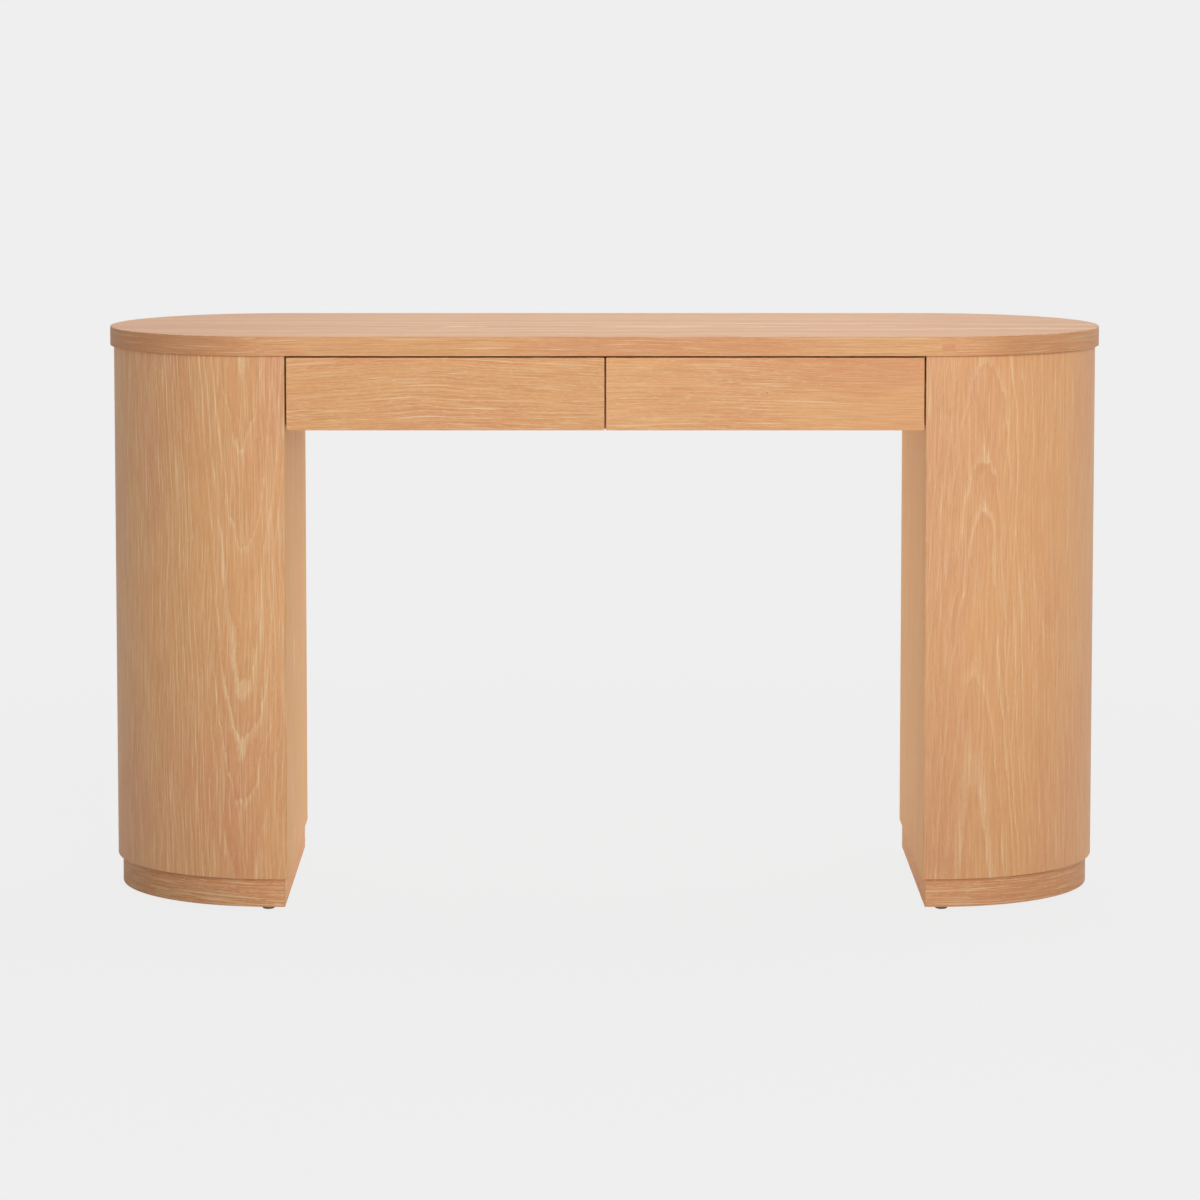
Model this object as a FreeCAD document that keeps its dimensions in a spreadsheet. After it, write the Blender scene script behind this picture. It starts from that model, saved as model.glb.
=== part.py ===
import FreeCAD, Part
import math
import os
import re
import Sketcher

# Writing desk: a board with half-round ends on two half-round pedestals, with two drawers between them.
# Millimetres. X runs along the width, the drawers face -Y, Z is up from the floor.
# The origin is on the floor, under the middle of the desktop.

doc = FreeCAD.newDocument("WritingDesk")
sizes = doc.addObject("Spreadsheet::Sheet", "Sizes")

# The driving dimensions
DRIVING_SIZES = (
    ("desk_width", 1334, "over the desktop, end to end"),
    ("desk_depth", 456, "over the desktop, front to back; its ends are half circles of this width"),
    ("desk_height", 762, "floor to desktop"),
    ("top_thickness", 25.5, "desktop board and lipping"),
    ("lipping_thickness", 12, "solid wood bent round the desktop's edge"),
    ("top_arris", 1.2, "small bevel on the lipping's upper edge"),
    ("top_overhang", 5, "desktop past the pedestals' shells"),
    ("pedestal_straight_run", 20.5, "flat inner face to the middle of the half round"),
    ("shell_thickness", 12, "bent plywood and its veneer"),
    ("inner_panel_thickness", 18, "flat panel on the knee side"),
    ("pedestal_board_thickness", 15, "half-round boards inside a pedestal"),
    ("plinth_height", 38, "recessed plinth under a pedestal"),
    ("plinth_thickness", 15, "plinth strips"),
    ("plinth_recess", 6.5, "plinth behind the shell"),
    ("plinth_inner_recess", 3.3, "plinth behind the inner face"),
    ("glide_height", 7, "floor to the plinth's underside"),
    ("glide_radius", 9, "widest part of a glide's foot"),
    ("glide_sole_radius", 5.4, "flat face on the floor"),
    ("glide_dome_height", 4.2, "rounded lower part of a glide's foot"),
    ("glide_turning_gap", 0.3, "foot to the block above it"),
    ("glide_inset", 27, "glide's axis from the plinth's outside"),
    ("stem_radius", 4, "threaded stem, over the thread"),
    ("stem_length", 24, "stem above the foot"),
    ("thread_clearance", 0.05, "stem in its insert, each side"),
    ("insert_radius", 5.5, "threaded insert"),
    ("insert_length", 13, "threaded insert"),
    ("foot_block_size", 40, "side of a block in the plinth"),
    ("stem_hole_depth", 28, "hole in a foot block"),
    ("case_side_thickness", 15, "drawer case sides"),
    ("divider_thickness", 18, "board between the drawers"),
    ("stretcher_thickness", 15, "flat rail under the desktop"),
    ("stretcher_depth", 70, "flat rail, front to back"),
    ("apron_thickness", 18, "board across the back"),
    ("case_lift", 6, "case sides' lower edge above the drawer faces' lower edge"),
    ("drawer_gap", 2.3, "round each drawer face"),
    ("face_height", 95.2, "drawer face"),
    ("face_thickness", 18, "drawer face"),
    ("face_arris", 0.8, "small bevel round a drawer face"),
    ("bumper_gap", 2, "closed face to the case's front edge"),
    ("box_height", 62, "drawer box"),
    ("drawer_back_gap", 50, "drawer box to the apron behind it"),
    ("box_board_thickness", 12, "drawer box boards"),
    ("box_top_clearance", 3.5, "drawer box under the stretcher"),
    ("bottom_thickness", 6, "drawer bottom"),
    ("groove_depth", 6, "groove for the drawer bottom"),
    ("groove_lift", 8, "groove above the box's lower edge"),
    ("groove_play", 0.2, "drawer bottom in its groove"),
    ("slide_end_inset", 6, "closed slide's end ahead of the drawer box's back"),
    ("slide_thickness", 12.7, "case wall to drawer side"),
    ("slide_height", 45, "case rail"),
    ("slide_setback", 2, "slide behind the case's front edge"),
    ("slide_steel", 1.3, "rolled steel of the rails"),
    ("case_flange_width", 10.2, "case rail, over its web"),
    ("middle_flange_width", 8.6, "middle rail, over its web"),
    ("drawer_flange_width", 7.7, "drawer rail, over its web"),
    ("middle_web_gap", 1, "case rail's web to the middle rail's web"),
    ("ball_radius", 1.6, "bearing balls"),
    ("ball_clearance", 0.04, "ball to its groove"),
    ("race_depth", 0.5, "ball groove in a flange"),
    ("case_race_place", 5.2, "outer ball rows from the case wall"),
    ("drawer_race_place", 8.6, "inner ball rows from the case wall"),
    ("cage_length", 140, "strip that holds a row's balls"),
    ("cage_width", 5, "ball cage strip"),
    ("cage_thickness", 0.8, "ball cage strip"),
    ("cage_inset", 10, "ball cage from the end of the middle rail"),
    ("cage_play", 0.15, "ball in its window, each side"),
    ("ball_spacing", 90, "balls along a cage"),
    ("rail_slot_length", 9, "screw slots punched in the rails"),
    ("rail_slot_width", 4.4, "screw slots punched in the rails"),
    ("rail_slot_inset", 37, "first and last slot from the rail's ends"),
    ("bolt_head_radius", 7.5, "flat head of a case bolt"),
    ("bolt_head_height", 2.6, "flat head of a case bolt"),
    ("bolt_radius", 3, "case bolt"),
    ("bolt_bite", 14, "case bolt into a pedestal's inner panel"),
    ("bolt_play", 0.05, "case bolt in its hole, each side"),
    ("low_bolt_lift", 10, "front and middle bolts above the case's lower edge"),
    ("low_bolt_inset", 33, "front bolt behind the case's front edge"),
    ("low_bolt_spacing", 170, "front bolt to middle bolt"),
    ("rear_bolt_inset", 27, "rear bolts ahead of the apron"),
    ("rear_bolt_lift", 20, "lower rear bolt above the case's lower edge"),
    ("rear_bolt_spacing", 40, "lower rear bolt to upper rear bolt"),
    ("screw_radius", 2, "wood screw"),
    ("screw_head_radius", 4, "countersunk head"),
    ("screw_head_height", 2.4, "countersunk head"),
    ("screw_bite", 16, "screw into the desktop"),
    ("screw_play", 0.05, "screw in its hole, each side"),
    ("stretcher_screw_offset", 200, "stretcher screws from the middle"),
    ("crown_screw_inset", 40, "pedestal screw inside the shell's crown"),
    ("side_screw_inset", 40, "pedestal screws inside the shell's straight run"),
    ("side_screw_offset", 30, "pedestal screws behind the inner panel"),
    ("overrun", 2, "how far a cutting tool runs past a face"),
    ("rod_sides", 8, "flats that stand for the round of a bolt, a screw or its hole"),
    ("head_sides", 12, "flats that stand for the round of a bolt's head, an insert or a stem"),
    ("glide_sides", 20, "flats that stand for the round of a glide's foot"),
    ("glide_bands", 3, "bands of flats on the rounded part of a glide's foot"),
    ("ball_meridians", 6, "flats round a bearing ball"),
    ("ball_bands", 4, "bands of flats from pole to pole of a bearing ball"),
)

# Places and sizes that follow from the driving dimensions
WORKED_OUT = {
    "end_radius": "desk_depth / 2",
    "crown_centre": "desk_width / 2 - end_radius",
    "core_radius": "end_radius - lipping_thickness",
    "top_underside": "desk_height - top_thickness",
    "shell_radius": "end_radius - top_overhang",
    "shell_hollow": "shell_radius - shell_thickness",
    "inner_plane": "crown_centre - pedestal_straight_run",
    "panel_back": "inner_plane + inner_panel_thickness",
    "pedestal_bottom": "glide_height + plinth_height",
    "pedestal_height": "top_underside - pedestal_bottom",
    "plinth_radius": "shell_radius - plinth_recess",
    "plinth_hollow": "plinth_radius - plinth_thickness",
    "plinth_plane": "inner_plane + plinth_inner_recess",
    "strip_back": "plinth_plane + plinth_thickness",
    "foot_top": "glide_height - glide_turning_gap",
    "corner_glide_x": "inner_plane + glide_inset",
    "corner_glide_y": "plinth_radius - glide_inset",
    "crown_glide_x": "crown_centre + plinth_radius - glide_inset",
    "face_front": "-shell_radius",
    "face_back": "face_front + face_thickness",
    "face_top": "top_underside - drawer_gap",
    "face_bottom": "face_top - face_height",
    "face_width": "inner_plane - drawer_gap * 3 / 2",
    "case_front": "face_back + bumper_gap",
    "case_bottom": "face_bottom + case_lift",
    "case_inner": "inner_plane - case_side_thickness",
    "apron_front": "shell_radius - apron_thickness",
    "stretcher_back": "case_front + stretcher_depth",
    "stretcher_bottom": "top_underside - stretcher_thickness",
    "stretcher_middle": "case_front + stretcher_depth / 2",
    "divider_half": "divider_thickness / 2",
    "box_bottom": "stretcher_bottom - box_top_clearance - box_height",
    "box_end": "case_inner - slide_thickness",
    "box_start": "divider_half + slide_thickness",
    "box_width": "box_end - box_start",
    "box_back": "apron_front - drawer_back_gap",
    "box_length": "box_back - face_back",
    "groove_bottom": "box_bottom + groove_lift",
    "groove_height": "bottom_thickness + groove_play",
    "slide_front": "case_front + slide_setback",
    "slide_back": "box_back - slide_end_inset",
    "slide_length": "slide_back - slide_front",
    "slide_level": "box_bottom + box_height / 2",
    "slide_half": "slide_height / 2",
    "race_radius": "ball_radius + ball_clearance",
    "race_offset": "race_radius - race_depth",
    "race_half_chord": "sqrt(race_radius * race_radius - race_offset * race_offset)",
    "case_flange_face": "slide_half - slide_steel",
    "outer_row": "case_flange_face - race_offset",
    "middle_flange_top": "outer_row - race_offset",
    "middle_flange_face": "middle_flange_top - slide_steel",
    "inner_row": "middle_flange_face - race_offset",
    "drawer_flange_top": "inner_row - race_offset",
    "drawer_flange_face": "drawer_flange_top - slide_steel",
    "middle_web": "slide_steel + middle_web_gap",
    "middle_tip": "middle_web + middle_flange_width",
    "drawer_tip": "slide_thickness - drawer_flange_width",
    "drawer_web": "slide_thickness - slide_steel",
    "low_bolt_level": "case_bottom + low_bolt_lift",
    "rear_bolt_level": "case_bottom + rear_bolt_lift",
    "rear_bolt_y": "apron_front - rear_bolt_inset",
}

SIZE_NAMES = {name for name, number, note in DRIVING_SIZES}
for row, (name, number, note) in enumerate(DRIVING_SIZES, start=1):
    sizes.set(f"A{row}", name)
    sizes.set(f"B{row}", str(number))
    sizes.set(f"C{row}", note)
    sizes.setAlias(f"B{row}", name)
doc.recompute()

# The two sides of the desk as signs of X, seen from the front
SIDES = {"left": -1, "right": 1}
AXIS = {"x": FreeCAD.Vector(1, 0, 0), "y": FreeCAD.Vector(0, 1, 0), "z": FreeCAD.Vector(0, 0, 1)}
QUARTER_TURN = 90


def formula(text):
    """The text as an expression: sizes are read from the sheet, worked-out names are written out."""
    def spell(match):
        word = match.group(0)
        if word in ("sqrt", "cos"):
            return word
        if word in SIZE_NAMES:
            return "Sizes." + word
        return "(" + formula(WORKED_OUT[word]) + ")"
    return re.sub(r"[a-z_]+", spell, text)


def number_of(text):
    """The length that a formula gives at the present sizes."""
    return float(sizes.evalExpression(formula(text)))


def bind(thing, **properties):
    """Tie properties of an object to formulas of the sheet's sizes."""
    for name, text in properties.items():
        thing.setExpression(name, formula(text))


def put(thing, x="0", y="0", z="0"):
    """Tie an object's place to three formulas."""
    for axis, text in zip("xyz", (x, y, z)):
        if text != "0":
            thing.setExpression("Placement.Base." + axis, formula(text))
    return thing


# Outlines drawn in sketches

def new_body(label):
    body = doc.addObject("PartDesign::Body", label)
    body.Label = label
    return body


def new_sketch(body, name, role):
    sketch = body.newObject("Sketcher::SketchObject", name)
    plane = next(part for part in body.Origin.OriginFeatures if part.Role == role)
    sketch.AttachmentSupport = (plane, "")
    sketch.MapMode = "FlatFace"
    return sketch


def tie(sketch, kind, element, point, text):
    """Hold one coordinate of a sketch point at a formula, counted from the sketch's origin."""
    rule = Sketcher.Constraint(kind, -1, 1, element, point, number_of(text))
    index = sketch.addConstraint(rule)
    sketch.setExpression(f"Constraints[{index}]", formula(text))


def draw_outline(sketch, corners):
    """Closed outline through the corners, each a pair of formulas.

    A corner may hold a third item for an arc to the next corner: the centre's x and y, the way it
    turns (1 or -1), and which of the centre's coordinates is tied.
    """
    first = sketch.GeometryCount
    starts = []
    ends = []
    for corner, following in zip(corners, corners[1:] + corners[:1]):
        start = FreeCAD.Vector(number_of(corner[0]), number_of(corner[1]), 0)
        end = FreeCAD.Vector(number_of(following[0]), number_of(following[1]), 0)
        if len(corner) == 2:
            sketch.addGeometry(Part.LineSegment(start, end), False)
            starts.append(1)
            ends.append(2)
            continue
        centre_x, centre_y, turn, tied = corner[2]
        centre = FreeCAD.Vector(number_of(centre_x), number_of(centre_y), 0)
        circle = Part.Circle(centre, AXIS["z"], start.distanceToPoint(centre))
        angles = [math.atan2(point.y - centre.y, point.x - centre.x) for point in (start, end)]
        low, high = angles if turn > 0 else angles[::-1]
        if high <= low:
            high += math.tau
        sketch.addGeometry(Part.ArcOfCircle(circle, low, high), False)
        starts.append(1 if turn > 0 else 2)
        ends.append(2 if turn > 0 else 1)
    count = len(corners)
    for index in range(count):
        after = (index + 1) % count
        sketch.addConstraint(
            Sketcher.Constraint("Coincident", first + index, ends[index], first + after, starts[after]))
    for index, corner in enumerate(corners):
        tie(sketch, "DistanceX", first + index, starts[index], corner[0])
        tie(sketch, "DistanceY", first + index, starts[index], corner[1])
        if len(corner) == 3 and corner[2][3] == "x":
            tie(sketch, "DistanceX", first + index, 3, corner[2][0])
        if len(corner) == 3 and corner[2][3] == "y":
            tie(sketch, "DistanceY", first + index, 3, corner[2][1])


def extruded(label, role, outlines, length, x="0", y="0", z="0"):
    """A body padded from closed outlines on one of its own planes.

    XY_Plane pads up, YZ_Plane pads towards +X and XZ_Plane pads towards -Y.
    """
    body = new_body(label)
    sketch = new_sketch(body, "Outline", role)
    for corners in outlines:
        draw_outline(sketch, corners)
    pad = body.newObject("PartDesign::Pad", "Pad")
    pad.Profile = sketch
    bind(pad, Length=length)
    put(body, x, y, z)
    return body


def bevel_edges(body, size, chosen):
    """Bevel the edges of a body's last feature for which the test says yes."""
    doc.recompute()
    base = body.Tip
    names = [f"Edge{index}" for index, edge in enumerate(base.Shape.Edges, start=1) if chosen(edge)]
    bevel = body.newObject("PartDesign::Chamfer", "Arris")
    bevel.Base = (base, names)
    bind(bevel, Size=size)
    return body


# Plain solids and cuts

def box(name, length, width, height, x="0", y="0", z="0"):
    block = doc.addObject("Part::Box", name)
    bind(block, Length=length, Width=width, Height=height)
    return put(block, x, y, z)


def cylinder(name, radius, height, x, y, z, along="z"):
    """A cylinder from the place given, along +Z, +X ("x") or -X ("-x")."""
    rod = doc.addObject("Part::Cylinder", name)
    turn_towards(rod, along)
    bind(rod, Radius=radius, Height=height)
    return put(rod, x, y, z)


def rod(name, radius, height, x, y, z, along="z", sides="rod_sides"):
    """A small round bar or hole, with a few flats in place of its round side."""
    bar = doc.addObject("Part::Prism", name)
    turn_towards(bar, along)
    bind(bar, Polygon=sides, Circumradius=radius, Height=height)
    return put(bar, x, y, z)


def tapered_rod(name, low_radius, high_radius, height, x, y, z):
    """A short taper between two radii, with the same flats as a rod."""
    taper = doc.addObject("Part::Feature", name)
    rings = [(number_of(low_radius), 0), (number_of(high_radius), number_of(height))]
    taper.Shape = faceted_turning(rings, int(number_of("rod_sides")))
    return put(taper, x, y, z)


def faceted_turning(rings, sides):
    """A turned solid of flat facets round the Z axis, through rings that are each a radius and a level.

    A ring of no radius is a pole.
    """
    circles = [
        [
            FreeCAD.Vector(radius * math.cos(math.tau * step / sides),
                           radius * math.sin(math.tau * step / sides), level)
            for step in range(sides + 1)
        ]
        for radius, level in rings
    ]
    facets = []
    for (low_ring, high_ring), (low, high) in zip(zip(rings, rings[1:]), zip(circles, circles[1:])):
        for step in range(sides):
            corners = [low[step]]
            if low_ring[0] > 0:
                corners.append(low[step + 1])
            corners.append(high[step + 1])
            if high_ring[0] > 0:
                corners.append(high[step])
            facets.append(Part.Face(Part.makePolygon(corners + corners[:1])))
    for ring, circle in ((rings[0], circles[0]), (rings[-1], circles[-1])):
        if ring[0] > 0:
            facets.append(Part.Face(Part.makePolygon(circle)))
    return Part.makeSolid(Part.makeShell(facets))


def turn_towards(thing, along):
    angle = {"z": 0, "x": QUARTER_TURN, "-x": -QUARTER_TURN}[along]
    thing.Placement = FreeCAD.Placement(FreeCAD.Vector(), FreeCAD.Rotation(AXIS["y"], angle))


def grouped(label, members):
    group = doc.addObject("Part::Compound", label)
    group.Label = label
    group.Links = members
    return group


def fused(name, first, second):
    pair = doc.addObject("Part::Fuse", name)
    pair.Base = first
    pair.Tool = second
    pair.Refine = True
    return pair


def drilled(label, blank, tools):
    """A blank with tools cut out of it."""
    cut = doc.addObject("Part::Cut", label)
    blank.Label = label + "_blank"
    cut.Label = label
    cut.Base = blank
    cut.Tool = grouped(label + "_tools", tools)
    return cut


# Desktop

def racetrack(radius):
    """Two straight sides and two half circles about the crown centres."""
    return [
        ("-crown_centre", f"-({radius})"),
        ("crown_centre", f"-({radius})", ("crown_centre", "0", 1, "x")),
        ("crown_centre", radius),
        ("-crown_centre", radius, ("-crown_centre", "0", 1, "x")),
    ]


def top_screw_places():
    """Where screws hold the desktop: x, y and the underside of what they pass through."""
    places = []
    for sign in SIDES.values():
        places.append((f"{sign} * stretcher_screw_offset", "stretcher_middle", "stretcher"))
        places.append((f"{sign} * (crown_centre + shell_hollow - crown_screw_inset)", "0", "pedestal"))
        for end in (-1, 1):
            x = f"{sign} * (panel_back + side_screw_offset)"
            places.append((x, f"{end} * (shell_hollow - side_screw_inset)", "pedestal"))
    return places


SCREWED_THICKNESS = {"stretcher": "stretcher_thickness", "pedestal": "pedestal_board_thickness"}


def desktop():
    """Core board with pilot holes, and the lipping bent round it."""
    blank = extruded("desktop_core", "XY_Plane", [racetrack("core_radius")], "top_thickness",
                     z="top_underside")
    pilots = [
        rod("Pilot", "screw_radius + screw_play", "overrun + screw_bite + screw_play",
            x, y, "top_underside - overrun")
        for x, y, carrier in top_screw_places()
    ]
    lipping = extruded("desktop_lipping", "XY_Plane", [racetrack("end_radius"), racetrack("core_radius")],
                       "top_thickness", z="top_underside")

    between_outlines = number_of("end_radius - lipping_thickness / 2")
    below_surface = number_of("top_thickness / 2")

    def is_outer_upper_edge(edge):
        bounds = edge.BoundBox
        return max(bounds.YMax, -bounds.YMin) > between_outlines and bounds.ZMin > below_surface

    bevel_edges(lipping, "top_arris", is_outer_upper_edge)
    return [drilled("desktop_core", blank, pilots), lipping]


# Pedestals

def half_round(sign, flat, radius):
    """Outline of a half-round board: a flat side, two short straight runs and a half circle."""
    centre = f"{sign} * crown_centre"
    return [
        (f"{sign} * ({flat})", f"-({radius})"),
        (centre, f"-({radius})", (centre, "0", sign, "x")),
        (centre, radius),
        (f"{sign} * ({flat})", radius),
    ]


def bent_strip(sign, flat, outside, inside):
    """Outline of a strip bent round the crown, open on its flat side."""
    centre = f"{sign} * crown_centre"
    edge = f"{sign} * ({flat})"
    return [
        (edge, f"-({outside})"),
        (centre, f"-({outside})", (centre, "0", sign, "x")),
        (centre, outside),
        (edge, outside),
        (edge, inside),
        (centre, inside, (centre, "0", -sign, "x")),
        (centre, f"-({inside})"),
        (edge, f"-({inside})"),
    ]


def upright(sign, near, far, half_width):
    """Outline of a flat board that closes a bent strip."""
    return [
        (f"{sign} * ({near})", f"-({half_width})"),
        (f"{sign} * ({far})", f"-({half_width})"),
        (f"{sign} * ({far})", half_width),
        (f"{sign} * ({near})", half_width),
    ]


def case_bolt_places():
    """Y and Z of the bolts that hold a case side to its pedestal."""
    front_y = "case_front + low_bolt_inset"
    return [
        (front_y, "low_bolt_level"),
        (front_y + " + low_bolt_spacing", "low_bolt_level"),
        ("rear_bolt_y", "rear_bolt_level"),
        ("rear_bolt_y", "rear_bolt_level + rear_bolt_spacing"),
    ]


def pedestal(side, sign):
    """Bent shell, inner panel and three half-round boards that keep its shape."""
    shell = extruded(f"{side}_curved_shell", "XY_Plane",
                     [bent_strip(sign, "inner_plane", "shell_radius", "shell_hollow")],
                     "pedestal_height", z="pedestal_bottom")
    blank = extruded(f"{side}_inner_panel", "XY_Plane",
                     [upright(sign, "inner_plane", "panel_back", "shell_hollow")],
                     "pedestal_height", z="pedestal_bottom")
    outward = {1: "x", -1: "-x"}[sign]
    bolt_holes = [
        rod("BoltHole", "bolt_radius + bolt_play", "overrun + bolt_bite + bolt_play",
            f"{sign} * (inner_plane - overrun)", y, z, outward)
        for y, z in case_bolt_places()
    ]
    panel = drilled(f"{side}_inner_panel", blank, bolt_holes)

    board_outline = [half_round(sign, "panel_back", "shell_hollow")]
    thickness = "pedestal_board_thickness"
    bottom = extruded(f"{side}_bottom_board", "XY_Plane", board_outline, thickness, z="pedestal_bottom")
    rib = extruded(f"{side}_middle_rib", "XY_Plane", board_outline, thickness,
                   z="pedestal_bottom + pedestal_height / 2 - pedestal_board_thickness / 2")
    top_blank = extruded(f"{side}_top_board", "XY_Plane", board_outline, thickness,
                         z="top_underside - pedestal_board_thickness")
    holes = [
        tool
        for x, y, carrier in top_screw_places()
        if carrier == "pedestal" and x.startswith(f"{sign} *")
        for tool in countersunk_hole(x, y, "top_underside - pedestal_board_thickness", thickness)
    ]
    top = drilled(f"{side}_top_board", top_blank, holes)
    return [shell, panel, bottom, rib, top]


def countersunk_hole(x, y, underside, depth):
    """Clearance hole up through a board, and its countersink from below."""
    hole = rod("ScrewHole", "screw_radius + screw_play", f"{depth} + 2 * overrun", x, y,
               f"{underside} - overrun")
    sink = tapered_rod("Countersink", "screw_head_radius + screw_play", "screw_radius + screw_play",
                       "screw_head_height", x, y, underside)
    return [hole, sink]


# Plinths and levelling glides

def glide_places(sign):
    """The three glides under a pedestal: name, x and y of each."""
    return [
        ("front", f"{sign} * corner_glide_x", "-corner_glide_y"),
        ("rear", f"{sign} * corner_glide_x", "corner_glide_y"),
        ("end", f"{sign} * crown_glide_x", "0"),
    ]


def plinth(side, sign):
    """Bent strip and flat strip under a pedestal, set back from it all round."""
    curve = extruded(f"{side}_plinth_curve", "XY_Plane",
                     [bent_strip(sign, "plinth_plane", "plinth_radius", "plinth_hollow")],
                     "plinth_height", z="glide_height")
    strip = extruded(f"{side}_plinth_strip", "XY_Plane",
                     [upright(sign, "plinth_plane", "strip_back", "plinth_hollow")],
                     "plinth_height", z="glide_height")
    return [curve, strip]


def low_corner(sign, near, size):
    """Lowest X of a block that starts at a distance from the middle and reaches outwards."""
    return near if sign > 0 else f"-({near}) - {size}"


def foot_block(sign, place, glide_x, glide_y):
    """Block under the bottom board, shaped to the plinth's hollow, with the hole for one insert."""
    near, low_y = {
        "front": ("strip_back", "-plinth_hollow"),
        "rear": ("strip_back", "plinth_hollow - foot_block_size"),
        "end": ("crown_centre + plinth_hollow - foot_block_size", "-foot_block_size / 2"),
    }[place]
    square = box("Block", "foot_block_size", "foot_block_size", "plinth_height",
                 low_corner(sign, near, "foot_block_size"), low_y, "glide_height")
    hollow = cylinder("PlinthHollow", "plinth_hollow", "plinth_height", f"{sign} * crown_centre", "0",
                      "glide_height")
    shaped = doc.addObject("Part::Common", "ShapedBlock")
    shaped.Base = square
    shaped.Tool = hollow
    stem_hole = rod("StemHole", "insert_radius", "overrun + stem_hole_depth", glide_x, glide_y,
                    "glide_height - overrun", sides="head_sides")
    return drilled(f"foot_block_{place}", shaped, [stem_hole])


def glide_insert(glide_x, glide_y):
    """Threaded sleeve flush with the underside of its block.

    The bore's flats lie outside the circle that the stem's corners turn in.
    """
    sleeve = rod("Sleeve", "insert_radius", "insert_length", glide_x, glide_y, "glide_height",
                 sides="head_sides")
    bore = rod("SleeveBore", "(stem_radius + thread_clearance) / cos(180 / head_sides)",
               "insert_length + 2 * overrun", glide_x, glide_y, "glide_height - overrun",
               sides="head_sides")
    return drilled("insert", sleeve, [bore])


def glide(label, glide_x, glide_y):
    """Foot that rounds in to its flat sole, in one piece with its threaded stem.

    The rounding is a quarter of an ellipse, from the sole's edge up to the straight wall.
    """
    sole = number_of("glide_sole_radius")
    swell = number_of("glide_radius") - sole
    rise = number_of("glide_dome_height")
    bands = int(number_of("glide_bands"))
    turns = [math.pi / 2 * band / bands for band in range(bands + 1)]
    rings = [(sole + swell * math.sin(turn), rise * (1 - math.cos(turn))) for turn in turns]
    rings.append((number_of("glide_radius"), number_of("foot_top")))
    foot = doc.addObject("Part::Feature", "Foot")
    foot.Shape = faceted_turning(rings, int(number_of("glide_sides")))
    put(foot, glide_x, glide_y)
    stem = rod("Stem", "stem_radius", "stem_length", glide_x, glide_y, "foot_top", sides="head_sides")
    whole = fused(label, foot, stem)
    whole.Label = label
    return whole


def feet():
    blocks = []
    inserts = []
    glides = []
    for side, sign in SIDES.items():
        for place, x, y in glide_places(sign):
            blocks.append(foot_block(sign, place, x, y))
            inserts.append(glide_insert(x, y))
            glides.append(glide(f"{side}_{place}_glide", x, y))
    return [grouped("foot_blocks", blocks), grouped("glide_inserts", inserts)] + glides


# Drawer case between the pedestals

def notched_board(low):
    """Side view of a case board from its lower edge up, notched at the front for the stretcher."""
    return [
        ("case_front", low),
        ("apron_front", low),
        ("apron_front", "top_underside"),
        ("stretcher_back", "top_underside"),
        ("stretcher_back", "stretcher_bottom"),
        ("case_front", "stretcher_bottom"),
    ]


def drawer_case():
    """Two sides bolted to the pedestals, a divider, a front stretcher and a rear apron.

    The divider reaches down to the drawer faces' lower edge, behind the gap where they meet.
    """
    pieces = []
    for side, sign in SIDES.items():
        low_x = low_corner(sign, "case_inner", "case_side_thickness")
        blank = extruded(f"case_{side}_side", "YZ_Plane", [notched_board("case_bottom")],
                         "case_side_thickness", x=low_x)
        outward = {1: "x", -1: "-x"}[sign]
        holes = [
            rod("BoltHole", "bolt_radius + bolt_play", "case_side_thickness + 2 * overrun",
                f"{sign} * (case_inner - overrun)", y, z, outward)
            for y, z in case_bolt_places()
        ]
        pieces.append(drilled(f"case_{side}_side", blank, holes))
    pieces.append(extruded("case_divider", "YZ_Plane", [notched_board("face_bottom")], "divider_thickness",
                           x="-divider_half"))
    rail = box("Rail", "2 * inner_plane", "stretcher_depth", "stretcher_thickness", "-inner_plane",
               "case_front", "stretcher_bottom")
    holes = [
        tool
        for x, y, carrier in top_screw_places()
        if carrier == "stretcher"
        for tool in countersunk_hole(x, y, "stretcher_bottom", "stretcher_thickness")
    ]
    pieces.append(drilled("front_stretcher", rail, holes))
    apron = box("rear_apron", "2 * inner_plane", "apron_thickness", "face_height + drawer_gap",
                "-inner_plane", "apron_front", "face_bottom")
    pieces.append(apron)
    return pieces


def fasteners():
    """Case bolts with flat heads, and countersunk screws up into the desktop."""
    bolts = []
    for sign in SIDES.values():
        outward = {1: "x", -1: "-x"}[sign]
        for y, z in case_bolt_places():
            head = rod("BoltHead", "bolt_head_radius", "bolt_head_height",
                       f"{sign} * (case_inner - bolt_head_height)", y, z, outward, "head_sides")
            shank = rod("BoltShank", "bolt_radius", "case_side_thickness + bolt_bite",
                        f"{sign} * case_inner", y, z, outward)
            bolts.append(fused("Bolt", head, shank))
    screws = []
    for x, y, carrier in top_screw_places():
        board = SCREWED_THICKNESS[carrier]
        underside = f"top_underside - {board}"
        head = tapered_rod("ScrewHead", "screw_head_radius", "screw_radius", "screw_head_height", x, y,
                           underside)
        shank = rod("ScrewShank", "screw_radius", f"{board} - screw_head_height + screw_bite", x, y,
                    f"{underside} + screw_head_height")
        screws.append(fused("Screw", head, shank))
    return [grouped("case_bolts", bolts), grouped("top_screws", screws)]


# Drawers

def grooved_profile(closed_face, open_face, inwards):
    """End view of a box board: a rectangle with the bottom's groove in its open face.

    inwards is the way from the open face into the board, 1 or -1.
    """
    top = "box_bottom + box_height"
    groove_top = "groove_bottom + groove_height"
    deep = f"{open_face} + {inwards} * groove_depth"
    return [
        (closed_face, "box_bottom"),
        (open_face, "box_bottom"),
        (open_face, "groove_bottom"),
        (deep, "groove_bottom"),
        (deep, groove_top),
        (open_face, groove_top),
        (open_face, top),
        (closed_face, top),
    ]


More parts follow.
